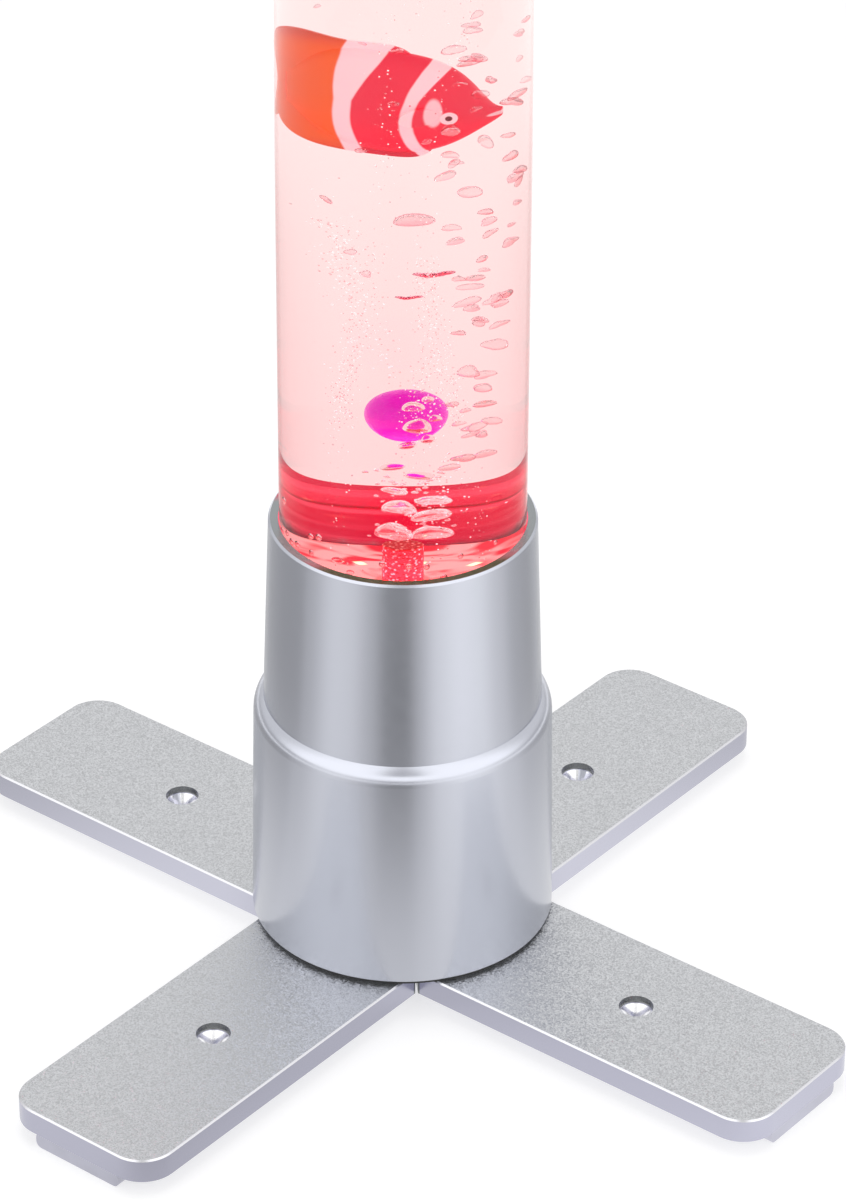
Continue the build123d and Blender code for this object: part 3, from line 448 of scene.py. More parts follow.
@dataclass(frozen=True)
class SatinPaint(Finish):
    """Smooth metallic paint on spun metal."""

    colour: Colour = (0.565, 0.58, 0.645)
    roughness: float = 0.24
    vary: float = 0.01
    cell: float = 0.12
    relief: float = 0.03
    depth: float = 0.01

    def coat(self, tree: Tree, colour: Value, glow: Values) -> Socket:
        """Lay the paint, with a faint mottle and the finest grain.

        Args:
            tree: the material's tree.
            colour: the paint's colour.
            glow: the inputs of the light that it gives, if any.

        Returns:
            The surface.
        """
        normal, mottle = tree.relief(self.cell, self.relief, self.depth)
        rough = tree.mottled(mottle, self.roughness - self.vary, self.roughness + self.vary)
        paint = {"Base Color": colour, "Metallic": 1.0, "Roughness": rough, "Normal": normal}
        return tree.principled(paint | glow)

    def dress(self, tree: Tree) -> Socket:
        """Paint everything in one colour."""
        return self.coat(tree, self.colour, {})


@dataclass(frozen=True)
class LitShell(SatinPaint):
    """The housing's satin paint, with the column's red light painted on its inner wall as a crimson glow.
    """

    bore: float = 0.0475
    chamfer: float = 0.0481
    edge: float = 0.0001
    low: float = 0.150
    fade: float = 0.004
    land: float = 0.1761
    rim: float = 0.1838
    seam_line: Span = (0.0003, 0.0013)
    pale_line: Span = (0.0004, 0.0012)
    pale_line_drop: float = 0.0026
    front: Span = (-0.036, -0.026)
    rear: Span = (0.014, 0.022)
    streaks: Point = (12.0, 12.0, 420.0)
    # painted light: pale and deep crimson glow of the inner wall, and a darker line in it
    pale: Colour = (0.92, 0.10, 0.19)
    deep: Colour = (0.66, 0.004, 0.06)
    line: Colour = (0.26, 0.0, 0.012)
    near_shadow_tint: Colour = (0.03, 0.035, 0.015)
    near_shadow_base: Colour = (0.08, 0.09, 0.06)
    red_lit_wall: Colour = (0.20, 0.01, 0.02)
    dull: Colour = (0.34, 0.36, 0.37)
    glow: float = 0.9

    def painted_wall_light(self, tree: Tree, height: Socket) -> Socket:
        """Paint the wall's red light as a streaked glow, with a darker line at the land's height and a
        paler line under the land.

        Args:
            tree: the material's tree.
            height: the height of the point.

        Returns:
            The light's colour.
        """
        stretched = tree.node("Mapping", {"Vector": tree.place(), "Scale": self.streaks}).outputs[0]
        streak = tree.node("TexNoise", {"Vector": stretched, "Scale": 1.0, "Detail": 3.0}).outputs["Fac"]
        rise = tree.ramp(height, self.land, self.rim)
        share = tree.math("ADD", rise, tree.ramp(streak, 0.4, 0.75, -0.15, 0.5))
        light = tree.blend(share, self.deep, self.pale)
        under = tree.off(height, self.land - self.pale_line_drop)
        light = tree.blend(tree.ramp(under, *self.pale_line, 0.8, 0.0), light, self.pale)
        seam = tree.ramp(tree.off(height, self.land), *self.seam_line, 1.0, 0.0)
        return tree.blend(seam, light, self.line)

    def dress(self, tree: Tree) -> Socket:
        """Silver outside, with a painted crimson glow, streaked, on the wall round the foot of the column
        and painted shadow on the land in front.
        """
        across, along, height = tree.axes(tree.place())
        reach = tree.length(across, along)
        inside = tree.times(
            tree.below(reach, self.bore, 2 * self.edge),
            tree.ramp(height, self.low, self.low + self.fade),
            tree.below(height, self.rim, self.edge),
        )
        on_rim = tree.ramp(height, self.rim, self.rim + self.edge)
        rear = tree.ramp(along, *self.rear)
        ends = tree.math("MAXIMUM", tree.ramp(along, *self.front, 1.0, 0.0), rear)
        over = tree.times(tree.below(reach, self.chamfer, self.edge), on_rim, ends)
        land = tree.times(tree.below(reach, self.chamfer, 2 * self.edge), on_rim)
        # painted shadow: the land in front of the tube takes a near-black base and tint; the land behind it
        # takes the deep crimson glow
        light = tree.blend(over, self.painted_wall_light(tree, height), tree.blend(rear, self.near_shadow_tint, self.deep))
        near = tree.times(over, tree.minus(1.0, rear))
        # painted light: the inner wall's dark red base colour stands for the column's red light, not the
        # housing's paint
        wall = tree.blend(near, self.red_lit_wall, self.near_shadow_base)
        inside = tree.math("MAXIMUM", inside, over)
        colour = tree.blend(inside, tree.blend(land, self.colour, self.dull), wall)
        glow = {"Emission Color": tree.blend(inside, BLACK, light), "Emission Strength": self.glow}
        return self.coat(tree, colour, glow)


@dataclass(frozen=True)
class HoleFinish(Finish):
    """A finish of a leg or its bush, whose holes glow in a painted plain tone where the drum mirrors them,
    so they leave no dark smudge there.
    """

    mirrored_hole_glow: Colour = (0.75, 0.755, 0.775)
    afar: float = 0.02

    def mirrored_afar(self, tree: Tree) -> Socket:
        """Tell the rays that come from a mirror some way off.

        Args:
            tree: the material's tree.

        Returns:
            1 for such a ray, 0 for others, among them those within the hole.
        """
        path = tree.node("LightPath")
        far = tree.ramp(path.outputs["Ray Length"], self.afar, 1.5 * self.afar)
        return tree.times(path.outputs["Is Glossy Ray"], far)

    def metal(self, tree: Tree, smudge: Socket, colour: Value, rough: Value, normal: Socket) -> Socket:
        """Make the metal, glowing as plain as the leg's top where it would leave a smudge: a painted
        reflection.

        Args:
            tree: the material's tree.
            smudge: 1 where it would.
            colour, rough, normal: the metal's own inputs.

        Returns:
            The surface.
        """
        return tree.principled(
            {
                "Base Color": tree.blend(smudge, colour, BLACK), "Metallic": 1.0, "Roughness": rough,
                "Normal": normal, "Emission Color": tree.blend(smudge, BLACK, self.mirrored_hole_glow),
                "Emission Strength": 1.0,
            }
        )


@dataclass(frozen=True)
class SparklePaint(HoleFinish):
    """Textured silver powder coat: sparkling on top, smoother and cooler on the cut sides."""

    top: Colour = (0.635, 0.645, 0.665)
    side: Colour = (0.48, 0.48, 0.575)
    lit_rear_side: Colour = (0.68, 0.68, 0.79)
    edge: Colour = (0.70, 0.70, 0.73)
    # deep: painted shade for the walls of the holes and the seams between the legs
    deep: Colour = (0.24, 0.25, 0.25)
    cell: float = 0.42
    tilt: float = 0.42
    grain_cell: float = 0.5
    grain_depth: float = 0.05
    hole_reach: float = 0.110
    hole_radius: float = 0.0064
    seam: float = 0.0009
    margin: float = 0.0003

    def painted_shade_places(self, tree: Tree, x: Socket, y: Socket) -> tuple[Socket, Socket]:
        """Mask the walls of the holes and the mitred seams between the legs, where shade is painted.

        Args:
            tree: the material's tree.
            x, y: the place on the leg.

        Returns:
            1 deep inside a hole or a seam for all but mirrored rays, where the painted shade goes, and 1
            inside a hole that a piece afar mirrors.
        """
        across, along = tree.math("ABSOLUTE", x), tree.math("ABSOLUTE", y)
        middle = self.hole_reach / math.sqrt(2)
        reach = tree.length(tree.minus(across, middle), tree.minus(along, middle))
        hole = tree.below(reach, self.hole_radius + self.margin, 0.0002)
        seam = tree.below(tree.math("MINIMUM", across, along), self.seam, self.margin)
        direct = tree.minus(1.0, tree.node("LightPath").outputs["Is Glossy Ray"])
        deep = tree.times(tree.math("MAXIMUM", hole, seam), direct)
        return deep, tree.times(hole, self.mirrored_afar(tree))

    def dress(self, tree: Tree) -> Socket:
        """Flakes and grain on the faces that look up, a painted highlight on the edges, plain silver sides,
        painted lighter on the rear legs.
        """
        across, along, _ = tree.axes(tree.place())
        flakes = tree.effect(Effect.FLAKES, {"Cell": self.cell, "Tilt": self.tilt})
        grain = tree.effect(Effect.GRAIN, {"Cell": self.grain_cell})
        facing = tree.node("NewGeometry").outputs["Normal"]
        upward = tree.axes(facing)[2]
        is_top = tree.ramp(upward, 0.80, 0.95)
        speck = tree.scaled(self.top, tree.ramp(flakes.outputs["Bright"], 0.0, 1.0, 0.80, 1.16))
        # painted light: the sides of the rear legs are lighter than those of the front legs
        side = tree.blend(tree.ramp(along, -0.02, 0.02), self.side, self.lit_rear_side)
        # painted highlight: the bevels between top and side take the bright edge colour
        side = tree.blend(tree.ramp(upward, 0.30, 0.55), side, self.edge)
        deep, smudge = self.painted_shade_places(tree, across, along)
        # painted shade: the hole walls and the seams take the dark deep colour
        side = tree.blend(deep, side, self.deep)
        ways = {"Factor": is_top, 4: facing, 5: flakes.outputs["Normal"]}
        mixed = tree.node("Mix", ways, data_type="VECTOR")
        bump = {
            "Height": grain.outputs["Height"], "Strength": tree.ramp(is_top, 0.0, 1.0, 0.05, 0.35),
            "Distance": self.grain_depth * MM, "Normal": mixed.outputs[1],
        }
        normal = tree.node("Bump", bump).outputs["Normal"]
        rough = tree.ramp(is_top, 0.0, 1.0, 0.27, 0.40)
        return self.metal(tree, smudge, tree.blend(is_top, side, speck), rough, normal)


@dataclass(frozen=True)
class BushMetal(HoleFinish):
    """Bright turned metal at the foot of a hole."""

    colour: Colour = (0.80, 0.80, 0.81)
    smooth: float = 0.12
    rough: float = 0.21

    def dress(self, tree: Tree) -> Socket:
        """Bright and fine-grained, but glowing in a painted plain tone like the leg where another piece
        mirrors it.
        """
        normal, mottle = tree.relief(0.2, 0.05, 0.05)
        rough = tree.mottled(mottle, self.smooth, self.rough)
        return self.metal(tree, self.mirrored_afar(tree), self.colour, rough, normal)


@dataclass(frozen=True)
class PlainSurface(Finish):
    """Moulded plastic, rubber, plated steel and other plain stock, with its own grain."""

    colour: Colour = (0.5, 0.5, 0.5)
    metallic: float = 0.0
    roughness: float = 0.4
    cell: float = 0.3
    relief: float = 0.1
    depth: float = 0.05

    def dress(self, tree: Tree) -> Socket:
        """One colour, mottled, with a relief of the given cell."""
        normal, mottle = tree.relief(self.cell, self.relief, self.depth)
        rough = tree.mottled(mottle, self.roughness - 0.04, self.roughness + 0.05)
        colour = tree.scaled(self.colour, tree.ramp(mottle, 0.25, 0.75, 0.92, 1.06))
        stock = {"Base Color": colour, "Metallic": self.metallic, "Roughness": rough, "Normal": normal}
        return tree.principled(stock)


@dataclass(frozen=True)
class ClearStock(Finish):
    """Clear plastic or liquid: acrylic, or its wall where water wets it."""

    index: float = 1.49
    colour: Colour = WHITE
    rim: Colour = WHITE
    shine: Colour = (0.4, 0.4, 0.4)

    def dress(self, tree: Tree) -> Socket:
        """Refracting and polished, with painted shade: a tint where the wall is seen edge on; lamps shine
        through.
        """
        slant = tree.node("LayerWeight").outputs["Facing"]
        colour = tree.blend(tree.ramp(slant, 0.74, 0.86), self.colour, self.rim)
        clear = {"Base Color": colour, "Roughness": 0.0, "IOR": self.index, "Transmission Weight": 1.0}
        return self.light_through(tree, tree.principled(clear | {"Specular Tint": self.shine}))


@dataclass(frozen=True)
class WaterSide(Finish):
    """The water's side, which only tints: the wall around it does the bending."""

    low_z: float = 0.16
    high_z: float = 0.40
    # painted light: the ring's pink, deeper low in the column
    low: Colour = (1.0, 0.80, 0.80)
    high: Colour = (0.998, 0.895, 0.885)

    def dress(self, tree: Tree) -> Socket:
        """Painted light: a pale pink tint of the ring's light that deepens towards the ring."""
        height = tree.axes(tree.place())[2]
        tint = tree.blend(tree.ramp(height, self.low_z, self.high_z), self.low, self.high)
        return tree.node("BsdfTransparent", {"Color": tint}).outputs[0]


@dataclass(frozen=True)
class AirInWater(Finish):
    """The skin of a bubble: light bends the other way than at a drop. Its pink tint and its pinker rim are
    painted light of the ring.
    """

    index: float = 1 / 1.33
    tint: Colour = (1.0, 0.93, 0.94)
    faint: float = 0.0
    rim: Colour = (0.93, 0.48, 0.57)
    painted_lamp_glow: Colour = BLACK
    middle: Colour = (1.0, 0.97, 0.97)

    def cloud(self, tree: Tree, slant: Socket, skin: Socket) -> Socket:
        """Add the milky light that a fresh bubble takes from the lamps under it, as a painted glow.

        Args:
            tree: the material's tree.
            slant: how far the skin turns away from the eye.
            skin: the clear skin.

        Returns:
            The milky skin.
        """
        noise = {"Vector": tree.place(), "Scale": 420.0, "Detail": 3.0, "Distortion": 0.8}
        patch = tree.ramp(tree.node("TexNoise", noise).outputs["Fac"], 0.35, 0.62)
        level = tree.times(patch, tree.ramp(slant, 0.1, 0.8, 0.22, 1.0))
        glow = tree.node("Emission", {"Color": self.painted_lamp_glow, "Strength": level}).outputs[0]
        return tree.node("AddShader", {0: skin, 1: glow}).outputs[0]

    def dress(self, tree: Tree) -> Socket:
        """Clear with a painted pink rim, or milky from a painted glow of what lies below it, with lamps
        shining through.
        """
        skin = tree.node("BsdfGlass", {"Color": self.tint, "Roughness": 0.0, "IOR": self.index})
        slant = tree.node("LayerWeight").outputs["Facing"]
        veil = tree.blend(tree.ramp(slant, 0.35, 0.95), self.middle, self.rim)
        plain = tree.node("BsdfTransparent", {"Color": veil})
        mixed = tree.node("MixShader", {0: self.faint, 1: skin.outputs[0], 2: plain.outputs[0]}).outputs[0]
        return self.light_through(tree, self.cloud(tree, slant, mixed) if any(self.painted_lamp_glow) else mixed)


@dataclass(frozen=True)
class GlintingAir(Finish):
    """A bubble too small to see through, whose glint is painted: it glows near-white all over."""

    colour: Colour = (1.0, 0.97, 0.97)
    glow: float = 0.50

    def dress(self, tree: Tree) -> Socket:
        """Bright all over from a painted glow, with lamps shining through."""
        skin = {"Base Color": self.colour, "Roughness": 0.2, "IOR": 1.33}
        glow = {"Emission Color": self.colour, "Emission Strength": self.glow}
        return self.light_through(tree, tree.principled(skin | glow))


@dataclass(frozen=True)
class GlowFloor(Finish):
    """The frosted plug over the light ring, painted with its light: a pale pink glow with slow red swirls.
    """

    pale: Colour = (1.0, 0.80, 0.78)
    deep: Colour = (0.86, 0.05, 0.10)
    lamp: Colour = (3.2, 3.0, 1.8)
    lamp_reach: float = 0.024
    lamp_count: float = 12.0
    lamp_edge: Span = (0.0006, 0.0020)
    glow: float = 0.55

    def dress(self, tree: Tree) -> Socket:
        """Frosted acrylic with a painted glow of the lamps under it, and a painted bright spot right over
        each.
        """
        place = tree.place()
        noise = {"Vector": place, "Scale": 45.0, "Detail": 2.5, "Roughness": 0.5, "Distortion": 1.8}
        swirl = tree.node("TexNoise", noise).outputs["Fac"]
        colour = tree.blend(tree.ramp(swirl, 0.46, 0.60), self.pale, self.deep)
        across, along, _ = tree.axes(place)
        wave = tree.math("COSINE", tree.times(tree.math("ARCTAN2", along, across), self.lamp_count))
        off = tree.off(tree.length(across, along), self.lamp_reach)
        near = tree.ramp(off, *self.lamp_edge, 1.0, 0.0)
        spot = tree.times(tree.ramp(wave, -0.96, -0.80, 1.0, 0.0), near)
        colour = tree.blend(spot, colour, self.lamp)
        frost = {"Base Color": colour, "Roughness": 0.35, "IOR": 1.49}
        return tree.principled(frost | {"Emission Color": colour, "Emission Strength": self.glow})


@dataclass(frozen=True)
class PorousStone(Finish):
    """Bonded grit with bubbles in its pores; its red and pale speckles and its glow are painted light of
    the ring.
    """

    dark: Colour = (0.60, 0.01, 0.02)
    pale: Colour = (1.0, 0.52, 0.46)
    cell: float = 1.05
    pore_depth: float = 0.4
    glow: float = 0.25

    def dress(self, tree: Tree) -> Socket:
        """Grains in two painted tones of the ring's light, with deep pores."""
        cells = {"Vector": tree.place(), "Scale": 1 / (self.cell * MM)}
        grains = tree.node("TexVoronoi", cells, feature="F1")
        tone = tree.node("SeparateColor", {"Color": grains.outputs["Color"]}).outputs["Green"]
        core = tree.ramp(grains.outputs["Distance"], 0.15, 0.55, 1.0, 0.0)
        colour = tree.blend(tree.times(core, tree.ramp(tone, 0.25, 0.75)), self.dark, self.pale)
        bump = tree.node("Bump", {"Height": core, "Strength": 0.8, "Distance": self.pore_depth * MM})
        grit = {"Base Color": colour, "Roughness": 0.55, "Normal": bump.outputs["Normal"]}
        return tree.principled(grit | {"Emission Color": colour, "Emission Strength": self.glow})


@dataclass(frozen=True)
class Band:
    """A curved band of a fish, in shares of its length and half height."""

    place: float
    width: float
    bow: float
    crest: float
    flare: float

    def lay(self, tree: Tree, along: Socket, up: Socket) -> tuple[Socket, Socket]:
        """Lay the band over the fish.

        Args:
            tree: the material's tree.
            along, up: the point's place on the fish.

        Returns:
            1 on the band, and 1 behind its middle.
        """
        shape = {"Place": self.place, "Width": self.width, "Bow": self.bow, "Crest": self.crest}
        made = tree.effect(Effect.BANDS, {"Along": along, "Up": up, "Flare": self.flare} | shape)
        return made.outputs["Mask"], made.outputs["Behind"]


@dataclass(frozen=True)
class Spot:
    """An oval spot of a fish: its middle and half sizes, in shares of length and half height."""

    along: float
    up: float
    long: float
    high: float

    def mask(self, tree: Tree, along: Socket, up: Socket, full: float, none: float, most: float) -> Socket:
        """Mask the spot.

        Args:
            tree: the material's tree.
            along, up: the point's place on the fish.
            full, none: where the mask starts to fade and where it ends, 1 being the oval's outline.
            most: the mask inside.

        Returns:
            The mask.
        """
        across = tree.math("DIVIDE", tree.minus(along, self.along), self.long)
        over = tree.math("DIVIDE", tree.minus(up, self.up), self.high)
        square = tree.math("ADD", tree.times(across, across), tree.times(over, over))
        return tree.ramp(tree.math("SQRT", square), full, none, most, 0.0)


@dataclass(frozen=True)
class FishSkin(Finish):
    """Soft moulded skin of a reef fish: two body colours, two pale bands."""

    nose: Point = (0.0, 0.0, 0.0)
    yaw: float = 0.0
    length: float = 0.064
    height: float = 0.043
    front: Colour = (0.92, 0.035, 0.085)
    rear: Colour = (1.0, 0.13, 0.02)
    pale: Colour = (1.0, 0.60, 0.66)
    pupil: Colour = (0.16, 0.0, 0.01)
    fin_dark: float = 0.55
    wobble: float = 0.03
    glow: float = 0.24
    head: Band = Band(0.385, 0.029, 0.19, -0.35, 0.06)
    waist: Band = Band(0.651, 0.036, 0.115, -0.2, 0.08)
    cheek: Spot = Spot(0.270, -0.20, 0.042, 0.26)
    eye: Spot = Spot(0.205, -0.306, 0.0395, 0.105)
    mouth: Spot = Spot(0.0, -0.36, 0.062, 0.035)

    def on_fish(self, tree: Tree) -> tuple[Socket, Socket]:
        """Find where a point lies on the fish.

        Args:
            tree: the material's tree.

        Returns:
            Its place behind the nose in shares of the length, and up in shares of the half height.
        """
        shift = Matrix.Rotation(-self.yaw, 3, "Z") @ Vector(self.nose)
        turned = {"Vector": tree.place(), "Rotation": (0.0, 0.0, -self.yaw), "Location": tuple(-shift)}
        ahead, _, above = tree.axes(tree.node("Mapping", turned, vector_type="POINT").outputs["Vector"])
        along = tree.math("DIVIDE", tree.times(ahead, -1.0), self.length)
        return along, tree.math("DIVIDE", above, self.height / 2)

    def dress(self, tree: Tree) -> Socket:
        """Colours laid out along and across the fish, with a painted glow."""
        normal, mottle = tree.relief(0.8, 0.25, 0.1)
        along, up = self.on_fish(tree)
        along = tree.math("ADD", along, tree.times(tree.minus(mottle, 0.5), self.wobble))
        head, _ = self.head.lay(tree, along, up)
        waist, behind = self.waist.lay(tree, along, up)
        edge = tree.ramp(tree.math("ABSOLUTE", up), 0.72, 0.98)
        dark = tuple(part * self.fin_dark for part in self.front)
        colour = tree.blend(behind, self.front, self.rear)
        colour = tree.blend(tree.times(edge, 0.5), colour, dark)
        colour = tree.blend(tree.math("MAXIMUM", head, waist), colour, self.pale)
        for spot, full, none, most, tone in (
            (self.cheek, 0.75, 1.05, 0.85, self.pale), (self.eye, 0.90, 1.05, 1.0, self.pale),
            (self.eye, 0.34, 0.46, 1.0, self.pupil), (self.mouth, 0.7, 1.0, 0.8, self.pale),
        ):
            colour = tree.blend(spot.mask(tree, along, up, full, none, most), colour, tone)
        # painted light: the skin glows in its own colour, though it is no lamp
        return tree.principled(
            {
                "Base Color": colour, "Roughness": 0.35, "Normal": normal, "Subsurface Weight": 0.15,
                "Subsurface Radius": (0.004, 0.002, 0.001), "Emission Color": colour,
                "Emission Strength": self.glow,
            }
        )


@dataclass(frozen=True)
class BrightBody(Finish):
    """Evenly coloured moulded plastic under water, with a painted glow of its own colour."""

    colour: Colour = (0.9, 0.02, 0.6)
    glow: float = 0.25

    def dress(self, tree: Tree) -> Socket:
        """Glossy colour with a faint mottle and a painted glow."""
        normal, mottle = tree.relief(0.7, 0.05, 0.05)
        tone = tree.scaled(self.colour, tree.mottled(mottle, 0.9, 1.08))
        body = {"Base Color": tone, "Roughness": 0.25, "Normal": normal}
        return tree.principled(body | {"Emission Color": tone, "Emission Strength": self.glow})


@dataclass(frozen=True)
class StudioFloor(Finish):
    """White paper that stays white to the camera and keeps the lamp's shadow."""

    albedo: float = 0.50
    lift: float = 0.60
    middle: float = 0.98
    near_contrast: float = 0.20
    near_reach: float = 0.08
    far_reach: float = 0.27
    paper_ends: Span = (0.3, 1.2)
    ring_starts: Span = (0.52, 0.936)
    ring_ends: Span = (1.3, 2.2)
    ring: float = 1.55

    def dress(self, tree: Tree) -> Socket:
        """Matt white with a lift for what the camera, metal and glass see."""
        mirrored, seen = mirrored_rays(tree)
        place = tree.place()
        east, north, _ = tree.axes(place)
        tent = tree.effect(Effect.TENT, {"East": east, "North": north}).outputs["Level"]
        away = tree.node("VectorMath", {0: place}, operation="LENGTH").outputs["Value"]
        contrast = tree.ramp(away, self.near_reach, self.far_reach, self.near_contrast, 1.0)
        level = tree.blend(contrast, (self.middle,) * 3, tent)
        ring = tree.times(tree.ramp(away, *self.ring_starts), tree.ramp(away, *self.ring_ends, 1.0, 0.0))
        level = tree.blend(ring, level, (self.ring,) * 3)
        paper = tree.node("BsdfDiffuse", {"Color": tree.ramp(away, *self.paper_ends, self.albedo, 0.0)})
        lift = tree.times(seen, tree.ramp(away, *self.paper_ends, self.lift, 1.0))
        plain = tree.node("Emission", {"Color": lift, "Strength": 1.0})
        lifted = tree.node("AddShader", {0: paper.outputs[0], 1: plain.outputs[0]})
        mirror = tree.node("Emission", {"Color": level, "Strength": 1.0})
        joined = tree.node("MixShader", {0: mirrored, 1: lifted.outputs[0], 2: mirror.outputs[0]})
        return joined.outputs[0]


def mirrored_rays(tree: Tree) -> tuple[Socket, Socket]:
    """Sort the rays that reach the studio.

    Args:
        tree: the tree of the floor or the world.

    Returns:
        Whether a ray comes from a mirroring surface, and whether it is the camera's or goes through glass.
    """
    path = tree.node("LightPath").outputs
    through = path["Is Transmission Ray"]
    mirrored = tree.times(path["Is Glossy Ray"], tree.minus(1.0, through))
    return mirrored, tree.math("MAXIMUM", path["Is Camera Ray"], through)


# ---- meshes


def circle(segments: int) -> list[float]:
    """Return the angles of a circle's corners."""
    return [2 * math.pi * step / segments for step in range(segments)]


@dataclass
class Shape:
    """A mesh under construction, in millimetres."""

    points: list[Point] = field(default_factory=list)
    faces: list[tuple[int, ...]] = field(default_factory=list)
    slots: list[int] = field(default_factory=list)

    def add(self, points: list[Point], faces: list[tuple[int, ...]], slots: list[int]) -> None:
        """Add points and the faces between them.

        Args:
            points: the new points.
            faces: faces that count the new points from 0.
            slots: which of the piece's finishes each face takes.
        """
        start = len(self.points)
        self.points += points
        self.faces += [tuple(start + i for i in face) for face in faces]
        self.slots += slots

    def turned(
        self, outline: list[Span], segments: int, slots: list[int] | None = None
    ) -> None:
        """Turn a closed outline round the lamp's axis.

        Args:
            outline: radius and height of each corner, with the solid on the left of the line.
            segments: how many steps a full turn has.
            slots: the finish of each side of the outline.
        """
        rings: list[list[int]] = []
        points: list[Point] = []
        for radius, height in outline:
            if radius == 0:
                rings.append([len(points)] * segments)
                points.append((0.0, 0.0, height))
                continue
            rings.append(list(range(len(points), len(points) + segments)))
            points += [(radius * math.cos(a), radius * math.sin(a), height) for a in circle(segments)]
        faces, kinds = [], []
        for side, (low, high) in enumerate(zip(rings, rings[1:] + rings[:1])):
            for step in range(segments):
                after = (step + 1) % segments
                corners = [low[step], low[after], high[after], high[step]]
                kept = tuple(c for i, c in enumerate(corners) if c != corners[i - 1])
                if len(kept) > 2:
                    faces.append(kept)
                    kinds.append(slots[side] if slots else 0)
        self.add(points, faces, kinds)

    def blob(
        self, centre: Point, sizes: Point, rings: int, segments: int, turn: Matrix | None = None,
        flat: float = 1.0, wave: float = 0.0, phase: float = 0.0, slot: int = 0,
    ) -> None:
        """Add a closed rounded body, such as a bubble.

        Args:
            centre: its middle.
            sizes: its half sizes.
            rings, segments: how finely it is divided.
            turn: how it is tilted.
            flat: how much of its height remains below its middle.
            wave: how far its outline waves.
            phase: where the wave starts.
            slot: the finish that it takes.
        """
        third, lift = 0.6, 1.2
        points = [Vector((0, 0, 1))]
        for ring in range(1, rings):
            polar = math.pi * ring / rings
            for angle in circle(segments):
                bend = math.sin(2 * angle + phase) + third * math.sin(3 * angle - 2 * phase)
                reach = math.sin(polar) * (1 + wave * bend)
                points.append(Vector((reach * math.cos(angle), reach * math.sin(angle), math.cos(polar))))
        points.append(Vector((0, 0, -1)))
        placed = []
        for point in points:
            tip = lift * wave * math.sin(math.atan2(point.y, point.x) + 3 * phase)
            point.z *= (flat if point.z < 0 else 1.0) * (1 + tip)
            point = Vector((point.x * sizes[0], point.y * sizes[1], point.z * sizes[2]))
            placed.append(tuple((turn @ point if turn else point) + Vector(centre)))
        faces = [(0, 1 + step, 1 + (step + 1) % segments) for step in range(segments)]
        for ring in range(rings - 2):
            low, high = 1 + ring * segments, 1 + (ring + 1) * segments
            for step in range(segments):
                after = (step + 1) % segments
                faces.append((low + step, high + step, high + after, low + after))
        last, low = len(points) - 1, 1 + (rings - 2) * segments
        faces += [(low + step, last, low + (step + 1) % segments) for step in range(segments)]
        self.add(placed, faces, [slot] * len(faces))

    def piece(self, name: str, finishes: list[Finish], smooth: bool = True) -> bpy.types.Object:
        """Make the shape an object.

        Args:
            name: the piece's name.
            finishes: its finishes, in the order of their slots.
            smooth: whether its faces are shaded smoothly.

        Returns:
            The new object, in metres.
        """
        mesh = bpy.data.meshes.new(name)
        mesh.from_pydata([tuple(c * MM for c in point) for point in self.points], [], self.faces)
        for finish in finishes:
            mesh.materials.append(finish.material())
        mesh.polygons.foreach_set("material_index", self.slots)
        mesh.polygons.foreach_set("use_smooth", [smooth] * len(mesh.polygons))
        mesh.validate()
        mesh.update()
        made = bpy.data.objects.new(name, mesh)
        bpy.context.scene.collection.objects.link(made)
        log.info("%s: %d faces", name, len(mesh.polygons))
        return made


def sharpen(piece: bpy.types.Object, degrees: float = 35.0) -> None:
    """Keep a piece's edges crisp where its faces meet at an angle.

    Args:
        piece: the piece.
        degrees: the smallest angle that stays crisp.
    """
    mesh = piece.data
    shared: dict[tuple[int, int], list[Vector]] = {}
    for face in mesh.polygons:
        for edge in face.edge_keys:
            shared.setdefault(edge, []).append(face.normal.copy())
    sharp = []
    for edge in mesh.edges:
        sides = shared.get(tuple(sorted(edge.vertices)), [])
        sharp.append(len(sides) == 2 and sides[0].angle(sides[1], 0) > math.radians(degrees))
    mesh.edges.foreach_set("use_edge_sharp", sharp)


def set_in_column(piece: bpy.types.Object, replaced: str | None = None) -> None:
    """Let a clear piece ride on the lamp's fixed body.

    Args:
        piece: the piece.
        replaced: the node that it stands for, if any.
    """
    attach(piece, "root")
    if replaced:
        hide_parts(replaced)


def dress_nodes(finish: Finish, *nodes: str) -> None:
    """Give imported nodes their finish.

    Args:
        finish: the finish.
        nodes: the nodes' names.
    """
    for node in nodes:
        target = frame["nodes"][node]
        target.data.materials.clear()
        target.data.materials.append(finish.material())
        log.info("%s: %s", node, finish.name)


# ---- sub-assemblies

RUBBER = PlainSurface("black rubber", (0.03, 0.03, 0.03), 0.0, 0.70, 0.5, 0.2)


